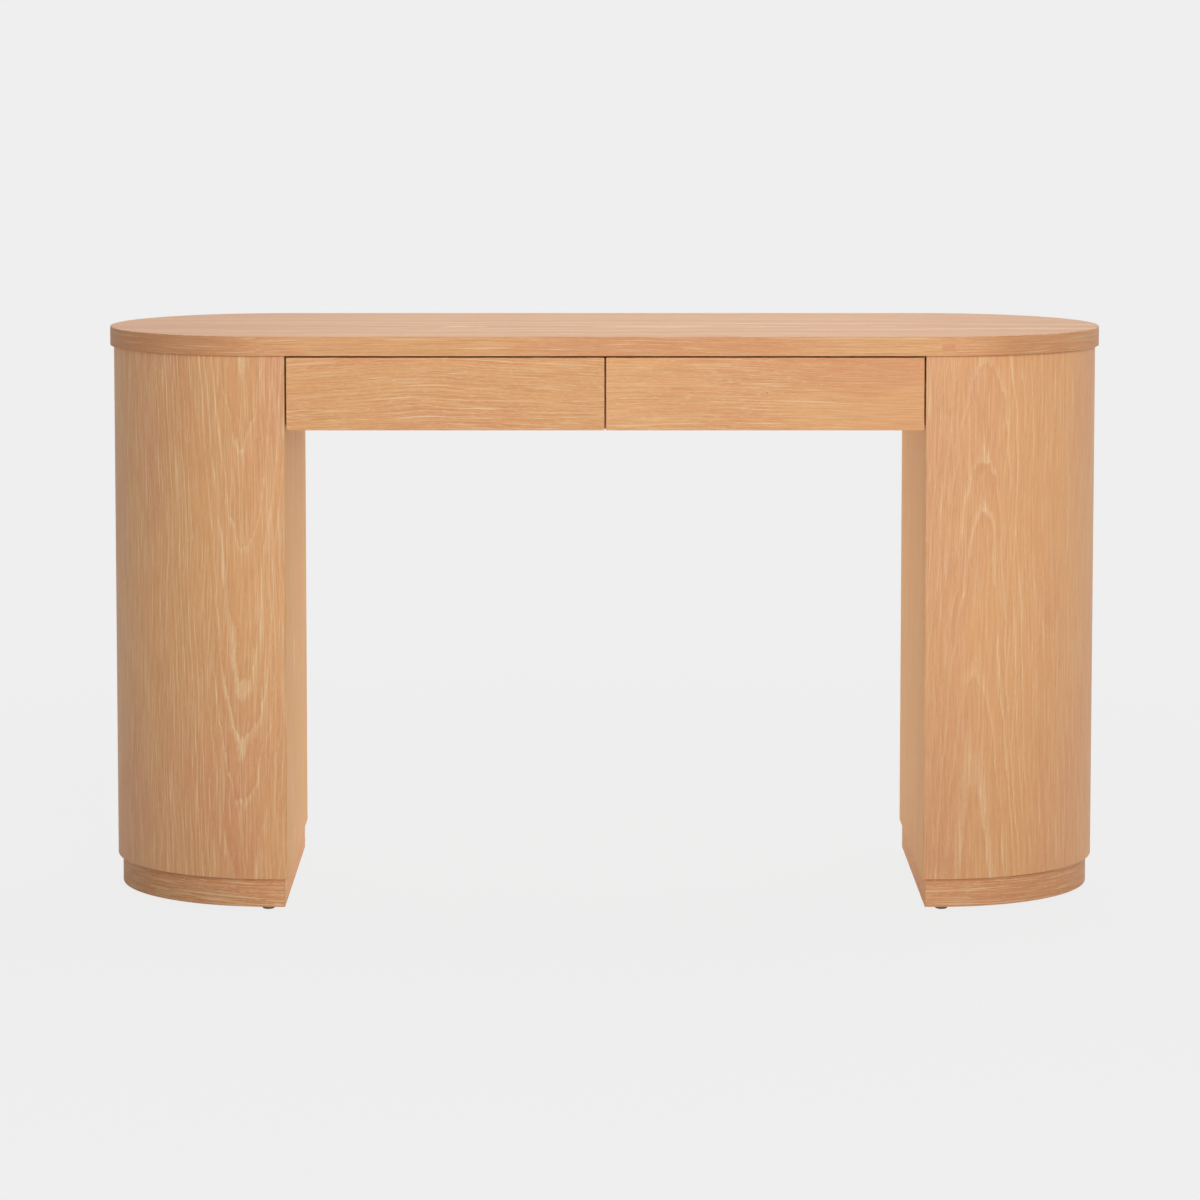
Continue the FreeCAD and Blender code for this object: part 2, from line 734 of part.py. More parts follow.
def drawer(side, sign):
    """Overlay face, and a box of four grooved boards round a thin bottom."""
    name = f"{side}_drawer"
    board = "box_board_thickness"
    face_start = "drawer_gap / 2"
    low_x = low_corner(sign, face_start, "face_width")
    face = extruded(f"{name}_face", "XZ_Plane", [[
        ("0", "0"),
        ("face_width", "0"),
        ("face_width", "face_height"),
        ("0", "face_height"),
    ]], "face_thickness", low_x, "face_back", "face_bottom")
    front_plane = -number_of("face_thickness - face_arris")
    bevel_edges(face, "face_arris", lambda edge: edge.BoundBox.YMax < front_plane)

    # The boards by the case side and by the divider, with their grooves facing each other
    walls = []
    for end, outside, inwards in (("end", "box_end", 1), ("centre", "box_start", -1)):
        inside = f"{outside} - {inwards} * {board}"
        profile = grooved_profile(f"{sign} * ({outside})", f"{sign} * ({inside})", sign * inwards)
        walls.append(extruded(f"{name}_{end}_side", "XZ_Plane", [profile], "box_length", y="box_back"))

    between = f"box_width - 2 * {board}"
    between_x = low_corner(sign, f"box_start + {board}", f"({between})")
    front_profile = grooved_profile("face_back", f"face_back + {board}", -1)
    back_profile = grooved_profile("box_back", f"box_back - {board}", 1)
    walls.append(extruded(f"{name}_box_front", "YZ_Plane", [front_profile], between, x=between_x))
    walls.append(extruded(f"{name}_back", "YZ_Plane", [back_profile], between, x=between_x))

    # The bottom reaches into all four grooves, with a little play at their ends
    reach = "groove_depth - groove_play"
    bottom_width = f"({between} + 2 * ({reach}))"
    bottom_start = f"box_start + {board} - ({reach})"
    bottom = box(f"{name}_bottom", bottom_width, f"box_length - 2 * {board} + 2 * ({reach})",
                 "bottom_thickness", low_corner(sign, bottom_start, bottom_width),
                 f"face_back + {board} - ({reach})", "groove_bottom + groove_play / 2")
    return [face] + walls + [bottom]


# Ball-bearing drawer slides: three nested rails of rolled steel, with ball rows between their flanges

def rail_section(corners, wall, towards):
    """Rail outline from distances off the case wall and heights off the slide's mid-level."""
    outline = []
    for corner in corners:
        x = f"{wall} + {towards} * ({corner[0]})"
        z = f"slide_level + {corner[1]}"
        if len(corner) == 2:
            outline.append((x, z))
            continue
        race_x, race_z = corner[2]
        centre = (f"{wall} + {towards} * {race_x}", f"slide_level + {race_z}", -towards, "y")
        outline.append((x, z, centre))
    return outline


def race(flange, place, row, rising):
    """The two corners of a ball groove in a flange, and the arc between them about the ball row."""
    near = f"{place} - race_half_chord"
    far = f"{place} + race_half_chord"
    first, last = (near, far) if rising else (far, near)
    return [(first, flange, (place, row)), (last, flange)]


def case_rail_corners():
    groove = "case_race_place"
    return (
        [("0", "-slide_half"), ("case_flange_width", "-slide_half"),
         ("case_flange_width", "-case_flange_face")]
        + race("-case_flange_face", groove, "-outer_row", False)
        + [("slide_steel", "-case_flange_face"), ("slide_steel", "case_flange_face")]
        + race("case_flange_face", groove, "outer_row", True)
        + [("case_flange_width", "case_flange_face"), ("case_flange_width", "slide_half"),
           ("0", "slide_half")]
    )


def middle_rail_corners():
    inner_web = "middle_web + slide_steel"
    return (
        [("middle_web", "-middle_flange_top")]
        + race("-middle_flange_top", "case_race_place", "-outer_row", True)
        + [("middle_tip", "-middle_flange_top"), ("middle_tip", "-middle_flange_face")]
        + race("-middle_flange_face", "drawer_race_place", "-inner_row", False)
        + [(inner_web, "-middle_flange_face"), (inner_web, "middle_flange_face")]
        + race("middle_flange_face", "drawer_race_place", "inner_row", True)
        + [("middle_tip", "middle_flange_face"), ("middle_tip", "middle_flange_top")]
        + race("middle_flange_top", "case_race_place", "outer_row", False)
        + [("middle_web", "middle_flange_top")]
    )


def drawer_rail_corners():
    groove = "drawer_race_place"
    return (
        [("drawer_tip", "-drawer_flange_top")]
        + race("-drawer_flange_top", groove, "-inner_row", True)
        + [("slide_thickness", "-drawer_flange_top"), ("slide_thickness", "drawer_flange_top")]
        + race("drawer_flange_top", groove, "inner_row", False)
        + [("drawer_tip", "drawer_flange_top"), ("drawer_tip", "drawer_flange_face"),
           ("drawer_web", "drawer_flange_face"), ("drawer_web", "-drawer_flange_face"),
           ("drawer_tip", "-drawer_flange_face")]
    )


def rail_slots(wall, towards, web):
    """Three screw slots punched through a rail's web."""
    places = ("slide_front + rail_slot_inset", "slide_front + slide_length / 2",
              "slide_back - rail_slot_inset")
    web_middle = f"{wall} + {towards} * ({web} + slide_steel / 2)"
    return [
        box("RailSlot", "slide_steel + 2 * overrun", "rail_slot_length", "rail_slot_width",
            f"{web_middle} - slide_steel / 2 - overrun", f"{y} - rail_slot_length / 2",
            "slide_level - rail_slot_width / 2")
        for y in places
    ]


def faceted_ball():
    """A ball of flat facets: rings on the sphere, evenly spaced from pole to pole."""
    radius = number_of("ball_radius")
    bands = int(number_of("ball_bands"))
    rings = [(0, -radius)]
    for band in range(1, bands):
        polar = math.pi * band / bands
        rings.append((radius * math.sin(polar), -radius * math.cos(polar)))
    rings.append((0, radius))
    return faceted_turning(rings, int(number_of("ball_meridians")))


def ball_row(wall, towards, place, row, cage_start):
    """One cage strip with square windows, and the ball that sits in each window."""
    window = "2 * (ball_radius + cage_play)"
    middle_x = f"{wall} + {towards} * {place}"
    strip = box("CageStrip", "cage_width", "cage_length", "cage_thickness",
                f"{middle_x} - cage_width / 2", cage_start, f"slide_level + {row} - cage_thickness / 2")
    windows = []
    balls = []
    for end in (-1, 1):
        ball_y = f"{cage_start} + cage_length / 2 + {end} * ball_spacing / 2"
        windows.append(box("Window", window, window, "cage_thickness + 2 * overrun",
                           f"{middle_x} - ball_radius - cage_play", f"{ball_y} - ball_radius - cage_play",
                           f"slide_level + {row} - cage_thickness / 2 - overrun"))
        ball = doc.addObject("Part::Feature", "Ball")
        ball.Shape = faceted_ball()
        balls.append(put(ball, middle_x, ball_y, f"slide_level + {row}"))
    return [drilled("cage", strip, windows)] + balls


def drawer_slide(name, wall, towards):
    """Case rail, middle rail and drawer rail, and the balls that run between them.

    The outer rows sit at the back of the middle rail and the inner rows at its front, where all
    three rails still overlap when the drawer is fully out.
    """
    case_blank = extruded(f"{name}_case_rail", "XZ_Plane",
                          [rail_section(case_rail_corners(), wall, towards)], "slide_length",
                          y="slide_back")
    case_rail = drilled(f"{name}_case_rail", case_blank, rail_slots(wall, towards, "0"))
    middle_rail = extruded(f"{name}_middle_rail", "XZ_Plane",
                           [rail_section(middle_rail_corners(), wall, towards)], "slide_length",
                           y="slide_back")
    drawer_blank = extruded(f"{name}_drawer_rail", "XZ_Plane",
                            [rail_section(drawer_rail_corners(), wall, towards)], "slide_length",
                            y="slide_back")
    drawer_rail = drilled(f"{name}_drawer_rail", drawer_blank,
                          rail_slots(wall, towards, "drawer_web"))
    rows = []
    for level in ("outer_row", "-outer_row"):
        rows += ball_row(wall, towards, "case_race_place", level, "slide_back - cage_inset - cage_length")
    for level in ("inner_row", "-inner_row"):
        rows += ball_row(wall, towards, "drawer_race_place", level, "slide_front + cage_inset")
    return [case_rail, middle_rail, drawer_rail, grouped(f"{name}_balls", rows)]


# The whole desk
pieces = desktop() + feet() + drawer_case() + fasteners()
for side, sign in SIDES.items():
    pieces += pedestal(side, sign) + plinth(side, sign) + drawer(side, sign)
    pieces += drawer_slide(f"{side}_end_slide", f"{sign} * case_inner", -sign)
    pieces += drawer_slide(f"{side}_centre_slide", f"{sign} * divider_half", sign)
doc.recompute()

for thing in doc.Objects:
    if "Invalid" in thing.State or "Error" in thing.State:
        raise RuntimeError(f"{thing.Label} did not compute: {thing.State}")

os.makedirs("parts", exist_ok=True)
for piece in pieces:
    if piece.Shape.isNull() or not piece.Shape.isValid():
        raise RuntimeError(f"{piece.Label} has no valid shape")
for piece in pieces:
    piece.Shape.exportStep(f"parts/{piece.Label}.step")
print(len(pieces), "pieces,", sum(len(piece.Shape.Solids) for piece in pieces), "solids")
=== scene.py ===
import math

import bmesh
import bpy
import numpy as np
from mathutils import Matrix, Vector


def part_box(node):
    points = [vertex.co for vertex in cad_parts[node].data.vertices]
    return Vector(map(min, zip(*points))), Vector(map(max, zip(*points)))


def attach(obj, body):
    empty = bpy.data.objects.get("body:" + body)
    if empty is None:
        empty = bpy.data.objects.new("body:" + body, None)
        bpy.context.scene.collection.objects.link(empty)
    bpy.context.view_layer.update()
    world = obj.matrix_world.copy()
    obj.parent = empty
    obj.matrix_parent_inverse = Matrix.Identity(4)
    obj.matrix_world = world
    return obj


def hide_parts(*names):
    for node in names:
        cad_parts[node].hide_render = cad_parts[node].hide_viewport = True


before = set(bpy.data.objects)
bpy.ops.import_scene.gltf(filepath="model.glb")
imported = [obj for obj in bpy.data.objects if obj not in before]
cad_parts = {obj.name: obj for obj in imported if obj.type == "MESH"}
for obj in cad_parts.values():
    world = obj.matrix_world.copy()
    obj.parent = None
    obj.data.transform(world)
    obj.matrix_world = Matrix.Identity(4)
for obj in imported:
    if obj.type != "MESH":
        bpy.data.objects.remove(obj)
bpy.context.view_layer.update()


# The desktop: a board with half-round ends under one sheet of limed oak veneer, its grain along the desk.
# Solid oak is bent round the board's edge as a lipping, and the veneer runs over it to the eased arris.

edge_low, edge_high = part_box("desktop_lipping")
core_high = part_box("desktop_core")[1]
end_radius = edge_high.y
crown = edge_high.x - end_radius
core_radius = core_high.y
top_level = edge_high.z
top_underside = edge_low.z
veneer = 0.0006
top_arris = 0.0012
low_arris = 0.0006
# A row of points this far inside each arris keeps the shading of the flats beside it even
support = 0.0008
turn_steps = 97


def path_round(start_x, centre_x, steps=turn_steps):
    """Half way round a crown: the base point's X, and the direction outwards as cos a, sin a.

    The path starts on the straight side in front, turns through 180 degrees about the crown centre
    and ends on the straight side behind. A piece's point is base + radius * direction.
    """
    turn = np.linspace(-np.pi / 2, np.pi / 2, steps)
    turn = np.concatenate([turn[:1], turn, turn[-1:]])
    base = np.full(turn.size, centre_x)
    base[[0, -1]] = start_x
    return base, np.cos(turn), np.sin(turn)


def path_all_round():
    """Once round the desktop: the right half round, then the same path turned half way about Z."""
    base, away_x, away_y = path_round(crown, crown)
    return (np.concatenate([base[1:-1], -base[1:-1]]), np.concatenate([away_x[1:-1], -away_x[1:-1]]),
            np.concatenate([away_y[1:-1], -away_y[1:-1]]))


def carried(path, profile):
    """A profile of (radius, level) pairs carried along a path: (base + r out_x, r out_y, level)."""
    base, away_x, away_y = (row[:, None] for row in path)
    radius, level = np.array(profile).T
    x = base + away_x * radius
    y = away_y * radius
    return np.stack([x, y, np.broadcast_to(level, x.shape)], axis=2)


def walked(points):
    """Lengths walked from row to row and from column to column of each grid: sums of longest steps."""
    steps = [np.linalg.norm(np.diff(points, axis=axis), axis=3).max(axis=3 - axis) for axis in (1, 2)]
    along, across = [np.cumsum(np.pad(step, ((0, 0), (1, 0))), axis=1) for step in steps]
    return np.stack(np.broadcast_arrays(along[:, :, None], across[:, None, :]), axis=3)


def laid(name, points, ring=False, tube=True, smooth_below=35, left_out=None):
    """A closed piece of quads through one or more grids of points, with a UV map of lengths in metres.

    A ring's last row meets its first, and a tube's last column meets its first. Rows or columns that
    shrink to a pole or a line are welded there, and an open end is filled. With left_out the piece
    is an open sheet instead, and the cells that it marks are holes in it.
    """
    points = points.reshape(-1, *points.shape[-3:])
    number = np.arange(points[..., 0].size).reshape(points.shape[:3])
    closed = points
    if tube:
        number = np.concatenate([number, number[:, :, :1]], axis=2)
        closed = np.concatenate([closed, closed[:, :, :1]], axis=2)
    if ring:
        number = np.concatenate([number, number[:, :1]], axis=1)
        closed = np.concatenate([closed, closed[:, :1]], axis=1)

    def corners(grid):
        return np.stack([grid[:, :-1, :-1], grid[:, 1:, :-1], grid[:, 1:, 1:], grid[:, :-1, 1:]], axis=3)

    quads = corners(number)
    holes = False if left_out is None else left_out
    kept = ~np.broadcast_to(holes, quads.shape[:3])
    mesh = bpy.data.meshes.new(name)
    mesh.from_pydata(points.reshape(-1, 3).tolist(), [], quads[kept].tolist())
    lengths = mesh.uv_layers.new(name="lengths")
    lengths.data.foreach_set("uv", corners(walked(closed))[kept].reshape(-1).astype(np.float32))
    work = bmesh.new()
    work.from_mesh(mesh)
    bmesh.ops.remove_doubles(work, verts=work.verts, dist=1e-6)
    bmesh.ops.delete(work, geom=[edge for edge in work.edges if not edge.link_faces], context="EDGES")
    if left_out is None:
        bmesh.ops.holes_fill(work, edges=[edge for edge in work.edges if edge.is_boundary])
    bmesh.ops.recalc_face_normals(work, faces=work.faces)
    work.to_mesh(mesh)
    work.free()
    mesh.shade_smooth()
    mesh.set_sharp_from_angle(angle=math.radians(smooth_below))
    piece = bpy.data.objects.new(name, mesh)
    bpy.context.scene.collection.objects.link(piece)
    return piece


def placed(piece, body, material, replaced=(), arris=None):
    """Give a piece its finish and eased edges, and let it ride on its body in place of CAD nodes."""
    piece.data.materials.append(material)
    if arris:
        eased = piece.modifiers.new("Eased edges", "BEVEL")
        eased.width = arris
        eased.segments = 2
        eased.limit_method = "ANGLE"
        eased.angle_limit = math.radians(40)
        eased.harden_normals = True
    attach(piece, body)
    if replaced:
        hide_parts(*replaced)
    return piece


# Shader building in a few words: a node whose inputs are filled in order, and the sums made of them


def add(tree, kind, *values, **settings):
    """A shader node. A value that is a socket is linked, None leaves the input as it is."""
    made = tree.nodes.new(kind)
    for name, value in settings.items():
        setattr(made, name, value)
    for socket, value in zip(made.inputs, values):
        if isinstance(value, bpy.types.NodeSocket):
            tree.links.new(value, socket)
        elif value is not None:
            socket.default_value = value
    return made


def calc(tree, operation, *values):
    return add(tree, "ShaderNodeMath", *values, operation=operation).outputs[0]


def times(tree, first, second):
    return calc(tree, "MULTIPLY", first, second)


def own_place(tree):
    """Where a point lies on the piece, in metres."""
    return add(tree, "ShaderNodeTexCoord").outputs["Object"]


def coordinates(tree, place):
    return add(tree, "ShaderNodeSeparateXYZ", place).outputs


def mottled(tree, place, scale, detail):
    """Noise about 0.5, with scale lumps in one unit of the place."""
    return add(tree, "ShaderNodeTexNoise", place, None, scale, detail).outputs["Fac"]


def cloud(tree, x, y, z, detail=2.0):
    """Noise about 0.5 whose lumps are one unit of x, y and z across."""
    return mottled(tree, add(tree, "ShaderNodeCombineXYZ", x, y, z).outputs[0], 1.0, detail)


def ramp(tree, value, low, high, start=0.0, end=1.0):
    """A smooth step from start to end while the value goes from low to high."""
    step = add(tree, "ShaderNodeMapRange", value, low, high, start, end, interpolation_type="SMOOTHSTEP")
    return step.outputs[0]


def tint(tree, share, first, second):
    mixed = add(tree, "ShaderNodeMix", share, data_type="RGBA")
    for socket, value in ((mixed.inputs[6], first), (mixed.inputs[7], second)):
        if isinstance(value, bpy.types.NodeSocket):
            tree.links.new(value, socket)
        else:
            socket.default_value = (*value, 1)
    return mixed.outputs[2]


def start_group(name, inputs, outputs):
    """An empty node group, with its named inputs and outputs, and the nodes that stand for them."""
    tree = bpy.data.node_groups.new(name, "ShaderNodeTree")
    for label, kind, value in inputs:
        socket = tree.interface.new_socket(name=label, in_out="INPUT", socket_type="NodeSocket" + kind)
        if value is not None:
            socket.default_value = value
    for label, kind in outputs:
        tree.interface.new_socket(name=label, in_out="OUTPUT", socket_type="NodeSocket" + kind)
    return tree, tree.nodes.new("NodeGroupInput").outputs, tree.nodes.new("NodeGroupOutput").inputs


def new_finish(name):
    """A material, its node tree and its Principled shader."""
    material = bpy.data.materials.new(name)
    material.use_nodes = True
    return material, material.node_tree, material.node_tree.nodes["Principled BSDF"]


def finished(tree, shader, colour, roughness, height, strength, depth):
    """Link a colour, a roughness and a relief of a depth in metres to a shader."""
    tree.links.new(colour, shader.inputs["Base Color"])
    tree.links.new(roughness, shader.inputs["Roughness"])
    relief = add(tree, "ShaderNodeBump", strength, depth)
    tree.links.new(height, relief.inputs["Height"])
    tree.links.new(relief.outputs["Normal"], shader.inputs["Normal"])


def limed_oak_group():
    """Crown-cut oak with pale filler in its pores.

    Growth rings are circles about the heart of the tree. A sheet cut past the heart shows them as
    reach = (across^p + depth^p)^(1/p), where the depth drifts along the grain, so they draw the
    nested arches of the figure. Each ring starts with a band of open pores, which hold the lime.
    """
    tree, given, result = start_group(
        "Limed oak",
        (("Place", "Vector", None), ("Heart Depth", "Float", 0.085), ("Drift", "Float", 0.024),
         ("Bow", "Float", 0.0), ("Ring Width", "Float", 0.006), ("Figure", "Float", 1.0),
         ("One Sided", "Float", 0.0), ("Streaks", "Float", 0.85), ("Dashes", "Float", 0.55),
         ("Liming", "Float", 1.0), ("Warmth", "Float", 0.5), ("Shade", "Float", 0.0),
         ("Honey", "Color", (0.790, 0.398, 0.166, 1))),
        (("Colour", "Color"), ("Roughness", "Float"), ("Height", "Float")))
    split = coordinates(tree, given["Place"])
    across, along, sheet = split[0], split[1], split[2]

    def grown(scale_across, scale_along, shift, detail=2.0):
        return cloud(tree, times(tree, across, scale_across), times(tree, along, scale_along),
                     calc(tree, "ADD", sheet, shift), detail)

    def swing(noise, reach):
        """Noise that swings from -reach to reach."""
        return calc(tree, "MULTIPLY_ADD", noise, 2 * reach, -reach)

    # The fibres wander a little, and rise to a low hill of height Bow: along^2 / (along^2 + width^2)
    hill_width = 0.11
    wander = swing(grown(5.0, 1.7, 0.0), 0.015)
    ripple = swing(grown(30.0, 9.0, 3.1), 0.0015)
    square = times(tree, along, along)
    hill = calc(tree, "DIVIDE", square, calc(tree, "ADD", square, hill_width ** 2))
    bow = times(tree, hill, given["Bow"])
    fibre = calc(tree, "ADD", calc(tree, "ADD", across, bow), calc(tree, "ADD", wander, ripple))
    # Between whole numbers the noise has no rows, which would show as bands
    between = calc(tree, "ADD", sheet, 0.37)
    stagger = times(tree, cloud(tree, times(tree, fibre, 150.0), 0.0, between), 3.4)

    def drawn_out(scale_across, scale_along, detail=2.0):
        """Noise stretched along the fibres, with its lengths staggered from fibre to fibre."""
        return cloud(tree, times(tree, fibre, scale_across),
                     calc(tree, "MULTIPLY_ADD", along, scale_along, stagger), between, detail)

    # Rings: the power makes the arches pointed, uneven growth steps them, and their edges are combed
    # out along the fibres. A ring is Ring Width wide 0.1 m from the heart, wider nearer to it.
    pointed = 1.85
    depth = calc(tree, "MULTIPLY_ADD", along, given["Drift"], given["Heart Depth"])
    for uneven_depth in (swing(grown(9.0, 5.0, 7.7), 0.006), swing(grown(48.0, 20.0, 1.3, 3.5), 0.0025),
                         swing(drawn_out(260.0, 9.0), 0.0010)):
        depth = calc(tree, "ADD", depth, uneven_depth)
    sideways = calc(tree, "POWER", calc(tree, "ABSOLUTE", fibre), pointed)
    both_ways = calc(tree, "ADD", sideways, calc(tree, "POWER", depth, pointed))
    reach = calc(tree, "POWER", both_ways, 1 / pointed)
    uneven = cloud(tree, times(tree, reach, 110.0), 0.0, sheet)
    crowding, given_width_at = 1.75, 0.1
    from_heart = calc(tree, "POWER", times(tree, reach, 1 / given_width_at), crowding)
    grown_out = times(tree, from_heart, given_width_at / crowding)
    rings = calc(tree, "ADD", calc(tree, "DIVIDE", grown_out, given["Ring Width"]),
                 times(tree, uneven, 2.0))
    season = calc(tree, "FRACT", rings)
    year = times(tree, calc(tree, "FLOOR", rings), 5.7)
    strong = ramp(tree, cloud(tree, year, 0.0, sheet, 0.0), 0.34, 0.62, 0.40, 1.25)
    clear = ramp(tree, grown(14.0, 3.5, 17.0), 0.30, 0.62, 0.35, 1.0)
    faint_side = times(tree, ramp(tree, fibre, -0.015, 0.01, 0.7, 0.0), given["One Sided"])
    clear = times(tree, clear, calc(tree, "SUBTRACT", 1.0, faint_side))
    marked = times(tree, times(tree, strong, clear), given["Figure"])
    early = times(tree, ramp(tree, season, 0.0, 0.06), ramp(tree, season, 0.06, 0.34, 1.0, 0.0))
    early = times(tree, early, marked)

    # Pores are dashes along the fibres: long faint ones, and short sharp ones
    streaks = ramp(tree, drawn_out(680.0, 15.0, 1.0), 0.55, 0.65)
    dashes = ramp(tree, drawn_out(1500.0, 100.0, 1.0), 0.56, 0.68)
    open_pores = calc(tree, "MULTIPLY_ADD", early, 0.60, 0.45)
    pores = calc(tree, "MAXIMUM", times(tree, streaks, given["Streaks"]),
                 times(tree, dashes, given["Dashes"]))
    limed = times(tree, pores, open_pores)
    limed = times(tree, calc(tree, "MULTIPLY_ADD", early, 0.50, limed), given["Liming"])

    # Wide soft patches of honey and rose, fine darker fibres, and the pale filler over them
    patch = ramp(tree, calc(tree, "ADD", grown(11.0, 3.0, 11.0, 3.0),
                            calc(tree, "MULTIPLY_ADD", given["Warmth"], 0.4, -0.2)), 0.32, 0.68)
    wood = tint(tree, patch, given["Honey"], (0.745, 0.340, 0.157))
    thread = ramp(tree, drawn_out(900.0, 20.0), 0.35, 0.65)
    wood = tint(tree, times(tree, thread, 0.28), wood, (0.50, 0.215, 0.080))
    late = times(tree, times(tree, ramp(tree, season, 0.60, 1.0), marked), 0.24)
    wood = tint(tree, late, wood, (0.57, 0.25, 0.092))
    wood = tint(tree, limed, wood, (0.86, 0.60, 0.335))

    # A pin knot here and there: the middle of a few cells of a wide net
    net_place = add(tree, "ShaderNodeCombineXYZ", times(tree, fibre, 14.0), times(tree, along, 9.0),
                    sheet).outputs[0]
    net = add(tree, "ShaderNodeTexVoronoi", net_place, None, 1.0)
    chosen = ramp(tree, coordinates(tree, net.outputs["Color"])[0], 0.86, 0.87)
    knot = times(tree, ramp(tree, net.outputs["Distance"], 0.008, 0.024, 0.8, 0.0), chosen)
    wood = tint(tree, knot, wood, (0.20, 0.075, 0.035))
    # Shade tints the wood towards deep brown: darker wood at the lipping's bent ends, and painted shade on
    # the top, the shells and the plinths
    tree.links.new(tint(tree, given["Shade"], wood, (0.30, 0.105, 0.050)), result["Colour"])
    tree.links.new(calc(tree, "MULTIPLY_ADD", limed, 0.10, 0.50), result["Roughness"])
    pits = times(tree, dashes, open_pores)
    tree.links.new(calc(tree, "MULTIPLY_ADD", pits, -1.0, times(tree, thread, 0.25)), result["Height"])
    return tree


oak_group = limed_oak_group()


def oak(name, across, along, centre=(0, 0, 0), measured=False, sheet=0.0, sheen=0.25, **figure):
    """A limed oak finish whose grain runs along one coordinate.

    across and along are the coordinates (0, 1, 2) of the object, or of the UV map of lengths where
    the pattern is measured along the piece. centre is where the middle of the figure lies, and
    figure holds the other inputs of the oak.
    """
    material, tree, shader = new_finish(name)
    if measured:
        source = add(tree, "ShaderNodeUVMap", uv_map="lengths").outputs[0]
    else:
        source = own_place(tree)
    centred = add(tree, "ShaderNodeMapping", source, tuple(-value for value in centre)).outputs[0]
    split = coordinates(tree, centred)
    place = add(tree, "ShaderNodeCombineXYZ", split[across], split[along], sheet).outputs[0]
    grain = add(tree, "ShaderNodeGroup", node_tree=oak_group)
    grain.name = "oak"
    tree.links.new(place, grain.inputs["Place"])
    for label, value in figure.items():
        grain.inputs[label.replace("_", " ").title()].default_value = value
    shader.inputs["Specular IOR Level"].default_value = sheen
    finished(tree, shader, *grain.outputs, 0.35, 0.0002)
    return material


def graded(material, label, near, far, start, end, middle=0.0, axis=0):
    """Let one input of the oak go from start to end, from near to far of a middle along one coordinate.

    A second change of the same input is added to the first.
    """
    tree = material.node_tree
    away = calc(tree, "SUBTRACT", coordinates(tree, own_place(tree))[axis], middle)
    change = ramp(tree, calc(tree, "ABSOLUTE", away), near, far, start, end)
    graded_input = tree.nodes["oak"].inputs[label]
    if graded_input.is_linked:
        change = calc(tree, "ADD", change, graded_input.links[0].from_socket)
    tree.links.new(change, graded_input)


def jointed(material, joint, darker):
    """Bent end pieces that meet the straight ones at X = joint and -joint: other grain, going darker."""
    tree = material.node_tree
    grain = tree.nodes["oak"]
    from_middle = calc(tree, "ABSOLUTE", coordinates(tree, own_place(tree))[0])
    bent = calc(tree, "GREATER_THAN", from_middle, joint)
    glue_line = calc(tree, "COMPARE", from_middle, joint, 0.0002)
    shade = ramp(tree, from_middle, joint - 0.02, joint + 0.10, 0.0, darker)
    tree.links.new(calc(tree, "MULTIPLY_ADD", glue_line, 0.12, shade), grain.inputs["Shade"])
    moved = add(tree, "ShaderNodeCombineXYZ", times(tree, bent, 0.02)).outputs[0]
    place = grain.inputs["Place"].links[0].from_socket
    tree.links.new(add(tree, "ShaderNodeVectorMath", place, moved).outputs[0], grain.inputs["Place"])


worktop_oak = oak("worktop_oak", 1, 0, (0.06, -0.04, 0), sheet=4.0, sheen=0.27, heart_depth=0.15,
                  drift=0.02, ring_width=0.017, figure=1.35, liming=1.35, warmth=0.9)
# Painted shade: the top is darker towards both ends
graded(worktop_oak, "Shade", 0.25, 0.70, 0.0, 0.18, middle=0.05)
lipping_joint = crown + 0.017
lipping_oak = oak("lipping_oak", 1, 0, (0, -0.15, 0), measured=True, sheet=9.0, drift=0.01,
                  figure=0.6, warmth=0.55, liming=1.0)
jointed(lipping_oak, lipping_joint, 0.29)

over_lipping = [(0, top_underside), (core_radius, top_underside), (core_radius, top_level - veneer)]
for turn in np.radians((30, 60, 90)):
    over_lipping.append((end_radius - top_arris * (1 - math.cos(turn)),
                         top_level - top_arris * (1 - math.sin(turn))))
over_lipping += [(end_radius - top_arris - support, top_level), (0, top_level)]
placed(laid("desktop_board", carried(path_all_round(), over_lipping), ring=True, tube=False),
       "desk", worktop_oak, ["desktop_core"])

lipping = [(core_radius, top_underside), (end_radius - low_arris - support, top_underside)]
for turn in np.radians((-90, -45, 0)):
    lipping.append((end_radius - low_arris * (1 - math.cos(turn)),
                    top_underside + low_arris * (1 + math.sin(turn))))
lipping += [(end_radius, top_underside + low_arris + support),
            (end_radius, top_level - top_arris - support),
            (end_radius, top_level - top_arris),
            (end_radius - top_arris * (1 - math.cos(math.radians(30))), top_level - veneer),
            (core_radius, top_level - veneer)]
placed(laid("desktop_edge", carried(path_all_round(), lipping), ring=True),
       "desk", lipping_oak, ["desktop_lipping"])


# The pedestals: each is a sheet of plywood bent round half-round boards and veneered with upright grain.
# A flat veneered panel closes the knee side, its face sheet running over the bent sheet's ends.

SIDES = {"left": -1, "right": 1}


def bent_sheet(name, sign, start_x, centre_x, outside, inside, low, high):
    """A flat strip bent round a crown: its section carried along the path round that crown."""
    section = [(outside, low), (outside, high), (inside, high), (inside, low)]
    points = carried(path_round(start_x, centre_x), section)
    return laid(name, points * (sign, 1, 1))


def drawn(name, section, axis, start, end):
    """A piece with one section all along: the section's points carried from start to end along an axis."""
    return laid(name, np.stack([np.insert(section, axis, level, axis=1) for level in (start, end)]))


def faced_panel(name, sign, plane, back, face_half, core_half, low, high):
    """A flat panel between the ends of a bent sheet: its plan carried straight up.

    The plan is a T: a face sheet of one veneer's thickness as wide as face_half each way, on a core.
    """
    lip = plane + veneer
    plan = np.array([(plane, -face_half), (plane, face_half), (lip, face_half), (lip, core_half),
                     (back, core_half), (back, -core_half), (lip, -core_half), (lip, -face_half)])
    return drawn(name, plan * (sign, 1), 2, low, high)


